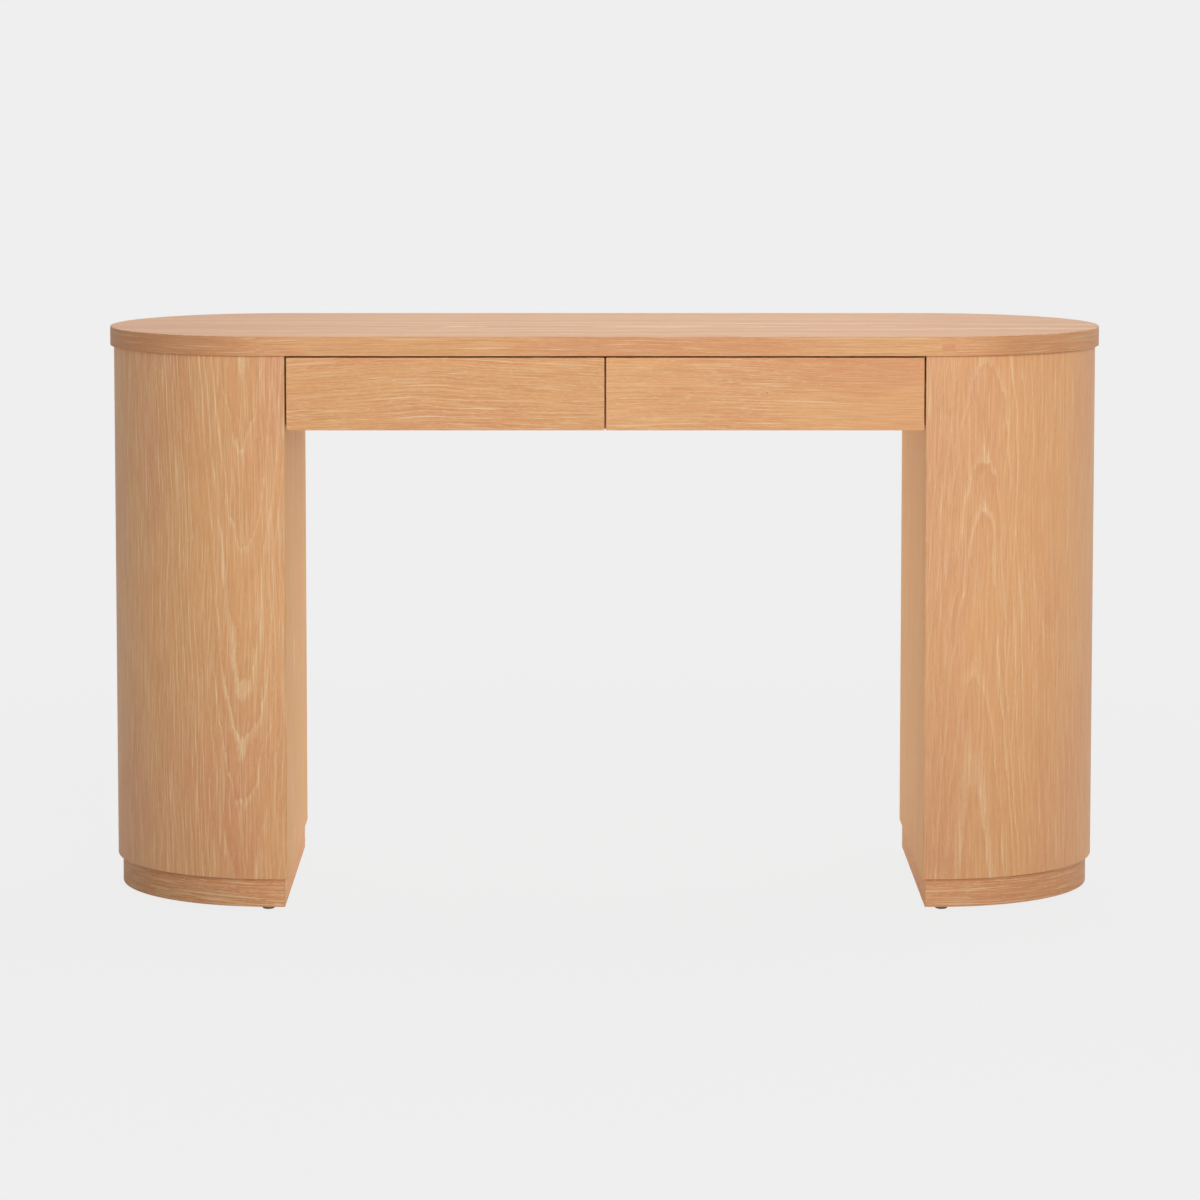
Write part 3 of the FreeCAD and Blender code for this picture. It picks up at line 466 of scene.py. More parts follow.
shell_low, shell_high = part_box("right_curved_shell")
panel_low, panel_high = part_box("right_inner_panel")
shell_figure = {
    "left": dict(centre=(0.0545, 0.24, 0), drift=-0.055, sheet=21.0, figure=1.0, liming=1.10,
                 ring_width=0.0057, streaks=1.05, warmth=0.37),
    "right": dict(centre=(0.0715, 0.40, 0), drift=0.050, sheet=32.0, figure=0.64, liming=1.02,
                  ring_width=0.0064, streaks=0.75, warmth=0.28),
}
# Painted light: each knee panel's honey is tuned to the light that falls on it, the right one paler in
# place of light it lacks
knee_honey_painted_light = {"left": (0.735, 0.408, 0.150, 1), "right": (0.80, 0.44, 0.168, 1)}
for side, sign in SIDES.items():
    shell = bent_sheet(f"{side}_bent_sheet", sign, panel_low.x + veneer, shell_high.x - shell_high.y,
                       shell_high.y, panel_high.y, shell_low.z, shell_high.z)
    shell_oak = oak(f"{side}_shell_oak", 0, 1, measured=True, sheen=0.58, one_sided=0.6,
                    **shell_figure[side])
    # Painted shade: the sheet is darker low down, and a painted shadow line shows where the sheet meets
    # the top
    graded(shell_oak, "Shade", 0.30, 0.62, 0.0, 0.08 + 0.03 * sign, middle=top_underside, axis=2)
    graded(shell_oak, "Shade", 0.0004, 0.0018, 0.50, 0.0, middle=top_underside, axis=2)
    placed(shell, "desk", shell_oak, [f"{side}_curved_shell"], arris=0.0005)
    panel = faced_panel(f"{side}_knee_panel", sign, panel_low.x, panel_high.x, shell_high.y,
                        panel_high.y, panel_low.z, panel_high.z)
    knee_oak = oak(f"{side}_knee_oak", 1, 2, (0, 0.05 * sign, 0.3), sheet=40.0 + sign, sheen=0.18,
                   drift=0.024 * sign, warmth=0.05, honey=knee_honey_painted_light[side])
    placed(panel, "desk", knee_oak, [f"{side}_inner_panel"], arris=0.0003)


# The plinths: recessed strips of the same bent ply and flat board, with the grain running round. Painted
# shade darkens them towards the bend away from the knee side, and the flat strips a little all over.

curve_low, curve_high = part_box("right_plinth_curve")
strip_low, strip_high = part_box("right_plinth_strip")
for side, sign in SIDES.items():
    curve = bent_sheet(f"{side}_plinth_bend", sign, strip_low.x + veneer, curve_high.x - curve_high.y,
                       curve_high.y, strip_high.y, curve_low.z, curve_high.z)
    plinth_oak = oak(f"{side}_plinth_oak", 1, 0, (0.2, -0.2, 0), measured=True, sheet=50.0 + sign,
                     figure=0.9, drift=0.01, streaks=1.3, dashes=1.0, liming=1.4 - 0.1 * sign,
                     warmth=0.65 - 0.15 * sign)
    # Painted shade: darker from the knee side out to the bend
    graded(plinth_oak, "Shade", panel_low.x - 0.03, shell_high.x - 0.04, 0.04, 0.29)
    placed(curve, "desk", plinth_oak, [f"{side}_plinth_curve"], arris=0.0005)
    strip = faced_panel(f"{side}_plinth_face", sign, strip_low.x, strip_high.x, curve_high.y,
                        strip_high.y, strip_low.z, strip_high.z)
    # Painted shade: the flat strip's wood is darkened a little all over, for the pedestal's shadow
    strip_oak = oak(f"{side}_plinth_face_oak", 2, 1, (0, 0, -0.2), sheet=55.0 + sign, figure=1.2,
                    drift=0.01, liming=1.8, shade=0.05)
    placed(strip, "desk", strip_oak, [f"{side}_plinth_strip"], arris=0.0003)


# The levelling glides: round feet of nylon, moulded on zinc-plated M8 studs. Each stud screws into a
# brass insert that is pressed into a foot block, so turning the foot levels the desk.


def turned(name, places, radius, level, steps=48, axis="z", hand=1):
    """A turned piece, once at each place: (r cos a, r sin a, level) for each angle a round the axis.

    radius and level are arrays along the profile, or over (angle, profile) where something winds
    round the piece or is let into it. axis is the way the level is counted: "z", or "x" times hand.
    """
    turn = np.linspace(0, 2 * np.pi, steps, endpoint=False)[:, None]
    around, up, out = np.broadcast_arrays(radius * np.sin(turn), level, radius * np.cos(turn))
    if axis == "z":
        points = np.stack([out, around, up], axis=2)
    else:
        points = np.stack([up * hand, around, out], axis=2)
    points = points + np.array(places)[:, None, None, :]
    return laid(name, points, ring=True, tube=False)


def nylon(name, colour):
    """Moulded nylon: one colour with a faint cloudiness, fine moulding marks, dust low down."""
    material, tree, shader = new_finish(name)
    spot = own_place(tree)
    cloudy = mottled(tree, spot, 300.0, 3.0)
    grainy = mottled(tree, spot, 4000.0, 2.0)
    height = coordinates(tree, spot)[2]
    dusty = times(tree, ramp(tree, height, 0.0, 0.003, 1.0, 0.0), cloudy)
    darker, lighter = (tuple(share * value for value in colour) for share in (0.8, 1.2))
    body = tint(tree, cloudy, darker, lighter)
    finished(tree, shader, tint(tree, dusty, body, (0.42, 0.38, 0.33)),
             calc(tree, "MULTIPLY_ADD", grainy, 0.25, 0.35), grainy, 0.3, 0.00005)
    return material


def steel_group():
    """Zinc-plated steel: drawing lines along one coordinate, faint cloudy plating, rubbed specks."""
    tree, given, result = start_group(
        "Plated steel", (("Place", "Vector", None), ("Tone", "Color", (0.74, 0.745, 0.75, 1))),
        (("Colour", "Color"), ("Roughness", "Float"), ("Height", "Float")))
    split = coordinates(tree, given["Place"])
    lines = cloud(tree, *(times(tree, way, fine) for way, fine in zip(split, (3500.0, 25.0, 3500.0))))
    plating = mottled(tree, given["Place"], 60.0, 4.0)
    rubbed = ramp(tree, mottled(tree, given["Place"], 900.0, 3.0), 0.60, 0.70)
    dull = add(tree, "ShaderNodeMix", plating, data_type="RGBA", blend_type="MULTIPLY")
    tree.links.new(given["Tone"], dull.inputs[6])
    dull.inputs[7].default_value = (0.82, 0.84, 0.88, 1)
    tree.links.new(tint(tree, times(tree, rubbed, 0.5), dull.outputs[2], (0.62, 0.60, 0.58)),
                   result["Colour"])
    rough = calc(tree, "MULTIPLY_ADD", lines, 0.16, 0.22)
    tree.links.new(calc(tree, "MULTIPLY_ADD", rubbed, 0.12, rough), result["Roughness"])
    tree.links.new(lines, result["Height"])
    return tree


plated_group = steel_group()


def plated(name, tone=(0.74, 0.745, 0.75), relief_depth=0.00003):
    """A zinc-plated steel finish whose drawing lines run along Y."""
    material, tree, shader = new_finish(name)
    steel = add(tree, "ShaderNodeGroup", node_tree=plated_group)
    tree.links.new(own_place(tree), steel.inputs["Place"])
    steel.inputs["Tone"].default_value = (*tone, 1)
    shader.inputs["Metallic"].default_value = 1.0
    finished(tree, shader, *steel.outputs, 0.25, relief_depth)
    return material


def refinish(material, *nodes):
    """Give CAD nodes whose shape is right a better finish."""
    for node in nodes:
        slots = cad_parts[node].data.materials
        slots.clear()
        slots.append(material)


foot_nylon = nylon("foot_nylon", (0.56, 0.49, 0.42))
stud_steel = plated("stud_steel", (0.70, 0.69, 0.66))
sole_radius = 0.0054
sole_hollow = 0.0003
foot_rounding = 0.0006
dome_rise = 0.0042
foot_top = 0.0067
stud_radius = 0.004
thread_pitch = 0.00125
thread_depth = 0.00065
thread_runout = 0.0015

# The foot's profile: the sole, a quarter of an ellipse, the wall, a rounded shoulder and a flat top
dome = np.linspace(0, np.pi / 2, 9)
shoulder = np.linspace(0, np.pi / 2, 5)
for side, sign in SIDES.items():
    for place in ("front", "rear", "end"):
        node = f"{side}_{place}_glide"
        glide_low, glide_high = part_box(node)
        foot_radius = (glide_high.x - glide_low.x) / 2
        centre = ((glide_low.x + glide_high.x) / 2, (glide_low.y + glide_high.y) / 2, 0)
        radius = np.concatenate([[0, sole_radius - foot_rounding],
                                 sole_radius + (foot_radius - sole_radius) * np.sin(dome),
                                 foot_radius - foot_rounding * (1 - np.cos(shoulder)), [0]])
        level = np.concatenate([[sole_hollow, 0], dome_rise * (1 - np.cos(dome)),
                                foot_top - foot_rounding * (1 - np.sin(shoulder)), [foot_top]])
        foot = turned(f"{node}_foot", [centre], radius, level)
        placed(foot, node, foot_nylon, [node])

        # The thread: a ridge whose level climbs one pitch in each turn round the stud
        level = np.linspace(foot_top, glide_high.z, 160)
        turn = np.linspace(0, 2 * np.pi, 32, endpoint=False)[:, None]
        ridge = np.abs((level / thread_pitch - turn / (2 * np.pi)) % 1 - 0.5) * 2
        ends = np.clip(np.minimum(level - foot_top, glide_high.z - level) / thread_runout, 0, 1)
        radius = stud_radius - thread_depth * (1 - ridge * ends)
        radius = np.pad(radius, ((0, 0), (1, 1)))
        stud = turned(f"{node}_stud", [centre], radius, np.pad(level, 1, mode="edge"), steps=32)
        placed(stud, node, stud_steel, [node])
refinish(plated("insert_brass", (0.78, 0.64, 0.36)), "glide_inserts")


# The boards out of sight: birch plywood, sawn square and glued. Three boards keep each pedestal's shape,
# blocks in the plinths take the glides, and the drawer case stands between the pedestals.


def ply_group():
    """Birch plywood: pale rotary-cut faces with soft wavy lines, and plies that show on cut edges.

    Place is (through the board, along the face grain, across it), and Edge is 1 on a cut edge. Stain
    colours the cut edges like the oak round them.
    """
    tree, given, result = start_group(
        "Birch plywood", (("Place", "Vector", None), ("Edge", "Float", 0.0), ("Ply", "Float", 0.0014),
                           ("Stain", "Float", 0.0)),
        (("Colour", "Color"), ("Roughness", "Float"), ("Height", "Float")))
    split = coordinates(tree, given["Place"])
    through, along, across = split[0], split[1], split[2]
    bend = cloud(tree, times(tree, across, 16.0), times(tree, along, 3.0), 2.0, 3.0)
    flow = calc(tree, "MULTIPLY_ADD", bend, 0.05, across)
    figure = cloud(tree, times(tree, flow, 160.0), times(tree, along, 7.0), 5.0)
    fleck = cloud(tree, times(tree, across, 1800.0), times(tree, along, 130.0), 1.0)
    face = tint(tree, ramp(tree, figure, 0.3, 0.7), (0.74, 0.56, 0.37), (0.63, 0.44, 0.26))
    face = tint(tree, times(tree, ramp(tree, fleck, 0.58, 0.72), 0.35), face, (0.42, 0.27, 0.15))
    layer = calc(tree, "DIVIDE", through, given["Ply"])
    crossed = calc(tree, "FRACT", times(tree, calc(tree, "FLOOR", layer), 0.5))
    line = calc(tree, "FRACT", layer)
    glue = times(tree, ramp(tree, line, 0.0, 0.12, 1.0, 0.0), 0.6)
    end_grain = cloud(tree, *(times(tree, way, 2500.0) for way in (along, across, through)))
    cut = tint(tree, times(tree, crossed, 1.6), (0.70, 0.50, 0.31), (0.50, 0.33, 0.185))
    cut = tint(tree, glue, cut, (0.25, 0.15, 0.08))
    cut = tint(tree, times(tree, end_grain, 0.3), cut, (0.36, 0.23, 0.12))
    cut = tint(tree, given["Stain"], cut, (0.80, 0.34, 0.13))
    tree.links.new(tint(tree, given["Edge"], face, cut), result["Colour"])
    tree.links.new(calc(tree, "MULTIPLY_ADD", given["Edge"], 0.2, 0.48), result["Roughness"])
    tree.links.new(calc(tree, "MULTIPLY_ADD", fleck, -0.5, end_grain), result["Height"])
    return tree


birch_group = ply_group()


def plywood(name, through, along, across, start=0.0, stain=0.0):
    """Plywood whose plies are stacked along one coordinate of the object, from start."""
    material, tree, shader = new_finish(name)
    seat = add(tree, "ShaderNodeTexCoord").outputs
    spot = coordinates(tree, seat["Object"])
    facing = coordinates(tree, seat["Normal"])[through]
    edge = ramp(tree, calc(tree, "ABSOLUTE", facing), 0.90, 0.98, 1.0, 0.0)
    stacked = calc(tree, "SUBTRACT", spot[through], start)
    place = add(tree, "ShaderNodeCombineXYZ", stacked, spot[along], spot[across]).outputs[0]
    board = add(tree, "ShaderNodeGroup", node_tree=birch_group)
    tree.links.new(place, board.inputs["Place"])
    tree.links.new(edge, board.inputs["Edge"])
    board.inputs["Stain"].default_value = stain
    shader.inputs["Specular IOR Level"].default_value = 0.35
    finished(tree, shader, *board.outputs, 0.25, 0.0001)
    return material


flat_ply = plywood("flat_ply", 2, 1, 0)
for board in ("bottom_board", "middle_rib", "top_board"):
    refinish(flat_ply, f"left_{board}", f"right_{board}")
refinish(plywood("stretcher_ply", 2, 0, 1, 0.0001, stain=0.85), "front_stretcher")
refinish(plywood("upright_ply", 0, 1, 2, stain=0.85), "case_left_side", "case_right_side", "case_divider")
refinish(plywood("block_ply", 1, 0, 2), "foot_blocks")


# The fasteners: steel, rolled, headed and zinc plated. Flat-headed socket bolts pull the drawer case to
# the pedestals, and countersunk wood screws come up from below into the top.

around = np.linspace(0, 2 * np.pi, 48, endpoint=False)[:, None]


def radii(*values):
    """A turned piece's radii at each angle around: a value is one radius, or one for each angle."""
    return np.hstack([value * np.ones_like(around) for value in values])


def socket_radius(turn, across_flats):
    """Distance from the axis to the side of a hexagon, for each angle."""
    return across_flats / 2 / np.cos(turn % (np.pi / 3) - np.pi / 6)


def cross_radius(turn, reach):
    """Distance from the axis to the edge of a cross recess: four lobes, |cos 2a| to a high power."""
    return reach * (0.32 + 0.68 * np.abs(np.cos(2 * turn)) ** 6)


bolt_head_radius = 0.0075
bolt_head_height = 0.0026
bolt_radius = 0.003
bolt_length = 0.029
bolt_tip_radius, bolt_tip_height = 0.0022, 0.0008
head_chamfer, head_chamfer_height = 0.0009, 0.0010
socket_across_flats = 0.004
socket_easing, socket_easing_depth = 0.0003, 0.0002
socket_floor = -0.0008
socket = socket_radius(around, socket_across_flats)
bolt_profile = radii(0, bolt_tip_radius, bolt_radius, bolt_radius, bolt_head_radius, bolt_head_radius,
                     bolt_head_radius - head_chamfer, socket + socket_easing, socket, socket, 0)
bolt_level = np.array([bolt_length, bolt_length, bolt_length - bolt_tip_height, 0, 0,
                       head_chamfer_height - bolt_head_height, -bolt_head_height, -bolt_head_height,
                       socket_easing_depth - bolt_head_height, socket_floor, socket_floor])

# A front and a middle bolt low in each case side, and two rear bolts one above the other
case_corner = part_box("case_right_side")[0]
apron_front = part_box("rear_apron")[0].y
bolt_yz = [(case_corner.y + 0.033, case_corner.z + 0.010), (case_corner.y + 0.203, case_corner.z + 0.010),
           (apron_front - 0.027, case_corner.z + 0.020), (apron_front - 0.027, case_corner.z + 0.060)]
bolt_steel = plated("bolt_steel", (0.70, 0.69, 0.66))
for side, sign in SIDES.items():
    places = [(sign * case_corner.x, y, z) for y, z in bolt_yz]
    bolts = turned(f"{side}_case_bolts", places, bolt_profile, bolt_level, axis="x", hand=sign)
    placed(bolts, "desk", bolt_steel, ["case_bolts"])

screw_low, screw_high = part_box("top_screws")
screw_head_radius = 0.004
recess = cross_radius(around, 0.0022)


def wood_screws(name, places, length):
    """Countersunk screws that point up: a cross recess, a cone, a shank that tapers to its tip."""
    rim_radius, shank_radius, tip_radius = 0.0038, 0.002, 0.0019
    recess_depth, rim_height, head_height, tip_length = 0.0016, 0.0001, 0.0024, 0.004
    profile = radii(0, recess * 0.4, recess, rim_radius, screw_head_radius, shank_radius, tip_radius, 0)
    level = np.array([recess_depth, recess_depth, 0, 0, rim_height, head_height,
                      length - tip_length, length])
    return turned(name, places, profile, level)


underside = screw_low.z
stretcher_low, stretcher_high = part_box("front_stretcher")
stretcher_y = (stretcher_low.y + stretcher_high.y) / 2
side_y = panel_high.y - 0.040
screw_places = [(sign * x, y, underside) for sign in SIDES.values()
                for x, y in ((0.200, stretcher_y), (screw_high.x - screw_head_radius, 0),
                             (panel_high.x + 0.030, side_y), (panel_high.x + 0.030, -side_y))]
screws = wood_screws("top_wood_screws", screw_places, screw_high.z - underside)
placed(screws, "desk", bolt_steel, ["top_screws"])


# The drawer faces: boards veneered in limed oak with an eased edge all round, fixed to the box fronts.
# They have no handle, and a hand opens them by the lower edge.


def flat_board(name, low, high):
    """A board between two opposite corners: the rectangle of its section carried along its length."""
    section = np.array([(low.y, low.z), (high.y, low.z), (high.y, high.z), (low.y, high.z)])
    return drawn(name, section, 0, low.x, high.x)


face_figure = {
    "left": dict(centre=(-0.215, 0, 0.585), bow=0.010, sheet=61.0, drift=0.0, figure=0.9),
    "right": dict(centre=(0.15, 0, 0.55), bow=0.004, sheet=67.0, drift=0.02, figure=0.5,
                  honey=(0.84, 0.44, 0.19, 1)),
}
for side in SIDES:
    node = f"{side}_drawer_face"
    board = flat_board(f"{side}_drawer_front", *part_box(node))
    face_oak = oak(f"{side}_face_oak", 2, 0, streaks=0.8, dashes=0.9, liming=1.2, warmth=0.5,
                   ring_width=0.0048, **face_figure[side])
    # The right face holds less lime towards its outer end
    if side == "right":
        graded(face_oak, "Liming", 0.18, 0.38, 1.2, 0.55)
    placed(board, f"{side}_drawer", face_oak, [node], arris=0.0004)


# The drawer boxes: birch plywood boards with rounded upper edges, grooved for a thin bottom. The sides
# run the whole length, and the front and back are glued and pinned between them.


def box_board_section(closed, opened, low, high, groove_low, groove_high, deep):
    """Section of a box board: a rectangle with rounded upper corners and a groove in its open face."""
    rounding = 0.0022
    turn = np.radians((0, 22.5, 45, 67.5, 90))
    way = np.sign(closed - opened)
    inwards, level = way * rounding * (1 - np.cos(turn)), high - rounding * (1 - np.sin(turn))
    near = np.column_stack([opened + inwards, level])
    far = np.column_stack([closed - inwards, level])
    groove = [(opened, groove_low), (deep, groove_low), (deep, groove_high), (opened, groove_high)]
    return np.concatenate([[(closed, low), (opened, low)], groove, near, far[::-1]])


groove_depth = 0.006
groove_play = 0.0002
side_ply = plywood("side_ply", 0, 1, 2)
end_ply = plywood("end_ply", 1, 0, 2)
for side, sign in SIDES.items():
    body = f"{side}_drawer"
    bottom_low, bottom_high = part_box(f"{body}_bottom")
    groove_low, groove_high = bottom_low.z - groove_play / 2, bottom_high.z + groove_play / 2
    middle = (bottom_low + bottom_high) / 2
    for board, axis in (("centre_side", 0), ("end_side", 0), ("box_front", 1), ("back", 1)):
        node = f"{body}_{board}"
        low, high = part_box(node)
        closed, opened = low[axis], high[axis]
        if middle[axis] < low[axis]:
            closed, opened = opened, closed
        deep = opened + groove_depth * np.sign(closed - opened)
        section = box_board_section(closed, opened, low.z, high.z, groove_low, groove_high, deep)
        piece = drawn(f"{side}_{board}_board", section, 1 - axis, low[1 - axis], high[1 - axis])
        placed(piece, body, side_ply if axis == 0 else end_ply, [node])
refinish(plywood("bottom_ply", 2, 0, 1), *(f"{side}_drawer_bottom" for side in SIDES))


# The ball-bearing slides: three nested rails rolled from steel strip, whose flanges curve round the
# balls between them. Slotted screw holes are punched in the case rail and the drawer rail.

slide_sheet = 0.0008
ball_radius = 0.0016
ball_play = 0.00004
race_radius = ball_radius + ball_play + slide_sheet / 2
race_half = 0.0012
bend_radius = 0.001
outer_row, inner_row = 0.02006, 0.01648
outer_place, inner_place = 0.0052, 0.0086
slot_half_length, slot_radius = 0.0045, 0.0022
slot_inset = 0.037
middle_web, drawer_web = 0.00295, 0.0123
case_flange_end, middle_flange_end, drawer_flange_end = 0.0101, 0.0109, 0.0050
drawer_rail_back = 0.0127


def round_race(place, row, outwards, first, last):
    """A race in a flange: an arc about the ball, on its side away from the mid-level or towards it."""
    x = np.linspace(first, last, 7) * race_half
    return np.column_stack([place + x, row + outwards * np.sqrt(race_radius ** 2 - x ** 2)])


def bend(web, flange, way):
    """A quarter bend from a flange down into the web; way is the side of the web that the flange is on."""
    turn = np.radians((90, 67.5, 45, 22.5, 0))
    x = web + way * bend_radius * (1 - np.cos(turn))
    return np.column_stack([x, flange - bend_radius * (1 - np.sin(turn))])


def whole_section(upper, slotted):
    """The upper half of a rail's middle line, the web's levels and the lower half, which mirrors it."""
    web = upper[-1, 0]
    levels = slot_radius * np.sin(np.radians(np.arange(90, -91, -22.5))) if slotted else np.array([0.0])
    web_line = np.column_stack([np.full(levels.size, web), levels])
    return np.concatenate([upper, web_line, upper[::-1] * (1, -1)])


race_rise = math.sqrt(race_radius ** 2 - race_half ** 2)
case_flange = outer_row + race_rise
drawer_flange = inner_row - race_rise
case_section = whole_section(np.concatenate([
    [(case_flange_end, case_flange)], round_race(outer_place, outer_row, 1, 1, -1),
    bend(slide_sheet / 2, case_flange, 1)]), True)
middle_section = whole_section(np.concatenate([
    [(middle_flange_end, inner_row + race_rise)], round_race(inner_place, inner_row, 1, 1, -1),
    round_race(outer_place, outer_row, -1, 1, -1), bend(middle_web, outer_row - race_rise, 1)]), False)
drawer_section = whole_section(np.concatenate([
    [(drawer_flange_end, drawer_flange)], round_race(inner_place, inner_row, -1, -1, 1),
    bend(drawer_web, drawer_flange, -1)]), True)


def punched(name, section, offset, start, end, holes, half_length, radius):
    """Steel strip with holes: its section's middle line drawn along Y.

    offset is how far each point of the section lies from the line of holes. A hole's rim is at
    half_length - radius + sqrt(radius^2 - offset^2) on either side of its centre.
    """
    rim = half_length - radius + np.sqrt(np.clip(radius ** 2 - offset ** 2, 0, None))
    rows = [np.full(len(section), start)]
    for hole in holes:
        rows += [hole - rim, hole + rim]
    rows.append(np.full(len(section), end))
    points = np.stack([np.column_stack([section[:, 0], row, section[:, 1]]) for row in rows])
    within = np.abs(offset) < radius + 1e-6
    across = within[:-1] & within[1:]
    along = np.arange(len(rows) - 1) % 2 == 1
    piece = laid(name, points, tube=False, left_out=(along[:, None] & across)[None])
    pressed = piece.modifiers.new("Strip thickness", "SOLIDIFY")
    pressed.thickness = slide_sheet
    pressed.offset = 0
    pressed.use_even_offset = True
    return piece


def ball_chain(name, places):
    """Bearing balls of 48 faces, one at each place: radius r sin p at the level -r cos p."""
    polar = np.linspace(0, np.pi, 7)
    return turned(name, places, ball_radius * np.sin(polar), -ball_radius * np.cos(polar), steps=8)


rail_steel = plated("rail_steel")
ball_steel = plated("ball_steel", (0.80, 0.80, 0.80), 0.00001)
cage_steel = plated("cage_steel", (0.66, 0.67, 0.68))
pan_shank, pan_head, pan_easing = 0.0018, 0.0036, 0.0004
pan_height = 0.0007
cage_half = 0.0024
window = 0.00175
balls_in_a_row = 13
ball_pitch = 0.0105
cage_length, cage_inset = 0.14, 0.010
ball_steps = np.arange(balls_in_a_row) - (balls_in_a_row - 1) / 2
slot_recess = cross_radius(around, 0.0019)
pan_profile = radii(0, pan_shank, pan_shank, pan_head, pan_head, pan_head - pan_easing, slot_recess,
                    slot_recess * 0.8, 0)
pan_level = (slide_sheet * np.array([0, 0, 1, 1, 1, 1, 1, 1, 1])
             + pan_height * np.array([0, 0, 0, 0, 0.4, 1, 1, 0.3, 0.3]))
for side, sign in SIDES.items():
    for place, towards in (("end", -sign), ("centre", sign)):
        name = f"{side}_{place}_slide"
        middle_body = f"{name}_middle"
        low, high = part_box(f"{name}_case_rail")
        wall = low.x if towards > 0 else high.x
        level = (low.z + high.z) / 2
        holes = (low.y + slot_inset, (low.y + high.y) / 2, high.y - slot_inset)
        for rail, section, body in (("case_rail", case_section, "desk"),
                                    ("middle_rail", middle_section, middle_body),
                                    ("drawer_rail", drawer_section, f"{side}_drawer")):
            offset = section[:, 1]
            outline = section * (towards, 1) + (wall, level)
            strip = punched(f"{name}_{rail}_strip", outline, offset, low.y, high.y,
                            () if rail == "middle_rail" else holes, slot_half_length, slot_radius)
            placed(strip, body, rail_steel, [f"{name}_{rail}"])

        # Cages and balls: the outer rows at the back of the middle rail, the inner rows at its front
        balls = []
        for depth, row, first in ((outer_place, outer_row, high.y - cage_inset - cage_length),
                                  (inner_place, inner_row, low.y + cage_inset)):
            cage_y = first + cage_length / 2 + ball_steps * ball_pitch
            turn = np.radians(np.arange(-90, 91, 45))
            offset = np.concatenate([[-cage_half], window * np.sin(turn), [cage_half]])
            for up in (1, -1):
                middle_line = np.column_stack([wall + towards * depth + offset,
                                               np.full(offset.size, level + up * row)])
                cage = punched(f"{name}_cage_{len(balls)}", middle_line, offset, first,
                               first + cage_length, cage_y, window, window)
                placed(cage, middle_body, cage_steel, [f"{name}_balls"])
                balls += [(wall + towards * depth, y, level + up * row) for y in cage_y]
        placed(ball_chain(f"{name}_bearing_balls", balls), middle_body, ball_steel,
               [f"{name}_balls"])

        # Pan-head screws through the slots
        drawer_side = wall + towards * drawer_rail_back
        for member, body, x, hand in (("case", "desk", wall, towards),
                                      ("drawer", f"{side}_drawer", drawer_side, -towards)):
            pans = turned(f"{name}_{member}_screws", [(x, y, level) for y in holes], pan_profile,
                          pan_level, axis="x", hand=hand)
            placed(pans, body, bolt_steel)


# The back apron: a veneered board across the back, fixed between the pedestals. It closes the drawer
# case behind and stiffens the desk.

apron = flat_board("back_apron", *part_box("rear_apron"))
apron_oak = oak("apron_oak", 2, 0, (0.1, 0, 0.60), sheet=71.0, drift=0.02)
placed(apron, "desk", apron_oak, ["rear_apron"], arris=0.0006)


# The studio: a wide pale floor, a big soft key light in front to the right, a weak one overhead and a
# dim sky all round. Two low lamps behind with narrow beams light the knee side of each pedestal.

paper = (0.863, 0.863, 0.863, 1)

# The floor is a flat disc of rings: (r cos a, r sin a, level)
turn = np.linspace(0, 2 * np.pi, 96, endpoint=False)[:, None]
reach = np.array([0.0, 1.0, 4.0, 60.0])
floor_level = -0.0002
x, y = np.cos(turn) * reach, np.sin(turn) * reach
floor = laid("floor", np.stack([x, y, np.full_like(x, floor_level)], axis=2), ring=True, tube=False,
             left_out=False)
floor_paint = bpy.data.materials.new("floor_paint")
floor_paint.use_nodes = True
tree = floor_paint.node_tree
tree.nodes.remove(tree.nodes["Principled BSDF"])
matt = add(tree, "ShaderNodeBsdfDiffuse", paper).outputs[0]
glow = add(tree, "ShaderNodeEmission", paper, 1.0).outputs[0]
distance = add(tree, "ShaderNodeVectorMath", own_place(tree), operation="LENGTH").outputs["Value"]
seen = times(tree, add(tree, "ShaderNodeLightPath").outputs["Is Camera Ray"],
             ramp(tree, distance, 0.9, 2.4, 0.96, 1.0))
both = add(tree, "ShaderNodeMixShader", seen, matt, glow).outputs[0]
tree.links.new(both, tree.nodes["Material Output"].inputs["Surface"])
floor.data.materials.append(floor_paint)

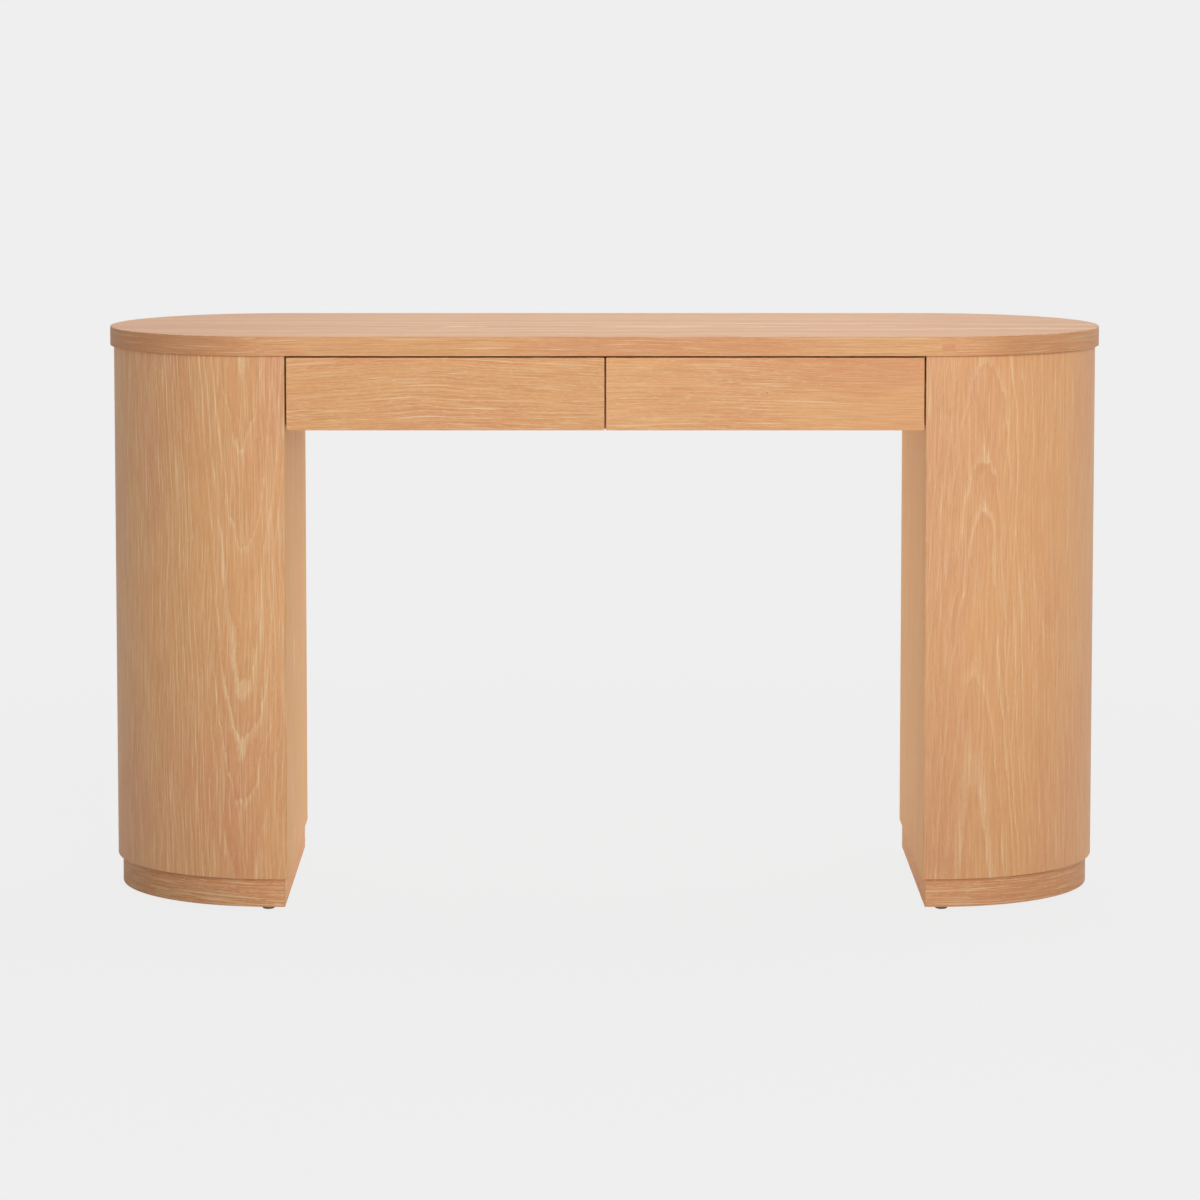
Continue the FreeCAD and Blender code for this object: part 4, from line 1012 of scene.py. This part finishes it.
world = bpy.data.worlds.new("studio")
world.use_nodes = True
bpy.context.scene.world = world
tree = world.node_tree
sky = tree.nodes["Background"]
way = coordinates(tree, add(tree, "ShaderNodeTexCoord").outputs["Generated"])
from_behind = times(tree, ramp(tree, way[1], 0.05, 0.75, 0.0, 1.05),
                    ramp(tree, way[0], -0.4, 0.2, 0.6, 1.0))
tree.links.new(calc(tree, "ADD", ramp(tree, way[0], -0.9, 0.0, 0.15, 0.42), from_behind),
               sky.inputs["Strength"])
behind = add(tree, "ShaderNodeBackground", paper, 1.0).outputs[0]
seen = add(tree, "ShaderNodeLightPath").outputs["Is Camera Ray"]
sky.inputs["Color"].default_value = (1, 1, 1, 1)
both = add(tree, "ShaderNodeMixShader", seen, sky.outputs[0], behind).outputs[0]
tree.links.new(both, tree.nodes["World Output"].inputs["Surface"])


def softbox(name, place, aim, size, power, spread=180, mirrored=True):
    """A square area light at a place, turned towards a point.

    Its beam spreads over an angle in degrees, and gloss shows it where it is mirrored.
    """
    light = bpy.data.lights.new(name, "AREA")
    light.size = size
    light.energy = power
    light.spread = math.radians(spread)
    lamp = bpy.data.objects.new(name, light)
    lamp.location = place
    lamp.rotation_mode = "QUATERNION"
    direction = Vector(aim) - Vector(place)
    lamp.rotation_quaternion = direction.to_track_quat("-Z", "Y")
    lamp.visible_camera = False
    lamp.visible_glossy = mirrored
    bpy.context.scene.collection.objects.link(lamp)


softbox("key", (0.95, -4.6, 2.3), (0, 0, 0.4), 2.6, 100)
softbox("overhead", (0.3, 0.8, 3.4), (0, 0, 0.7), 2.4, 16)
softbox("behind_left", (-1.0, 1.6, 0.45), (0.43, 0, 0.45), 0.6, 1.10, 50, mirrored=False)
softbox("behind_right", (1.0, 1.6, 0.45), (-0.43, 0, 0.45), 0.6, 0.70, 50, mirrored=False)


# The camera: the photograph's place and lens, found from the desk's corners and outlines in it. The
# other views keep its shift, so a part of the photograph's shift is a slight tilt here.

camera = bpy.data.cameras.new("camera")
camera.lens = 137.25
camera.sensor_width = 36
camera.shift_x = 0.0139
camera.shift_y = -0.15
eye = bpy.data.objects.new("camera", camera)
eye.location = (-0.0286, -6.1684, 1.1956)
eye.rotation_euler = (math.radians(90 - 5.218), 0, 0)
bpy.context.scene.collection.objects.link(eye)
bpy.context.scene.camera = eye
bpy.context.scene.view_settings.view_transform = "Standard"
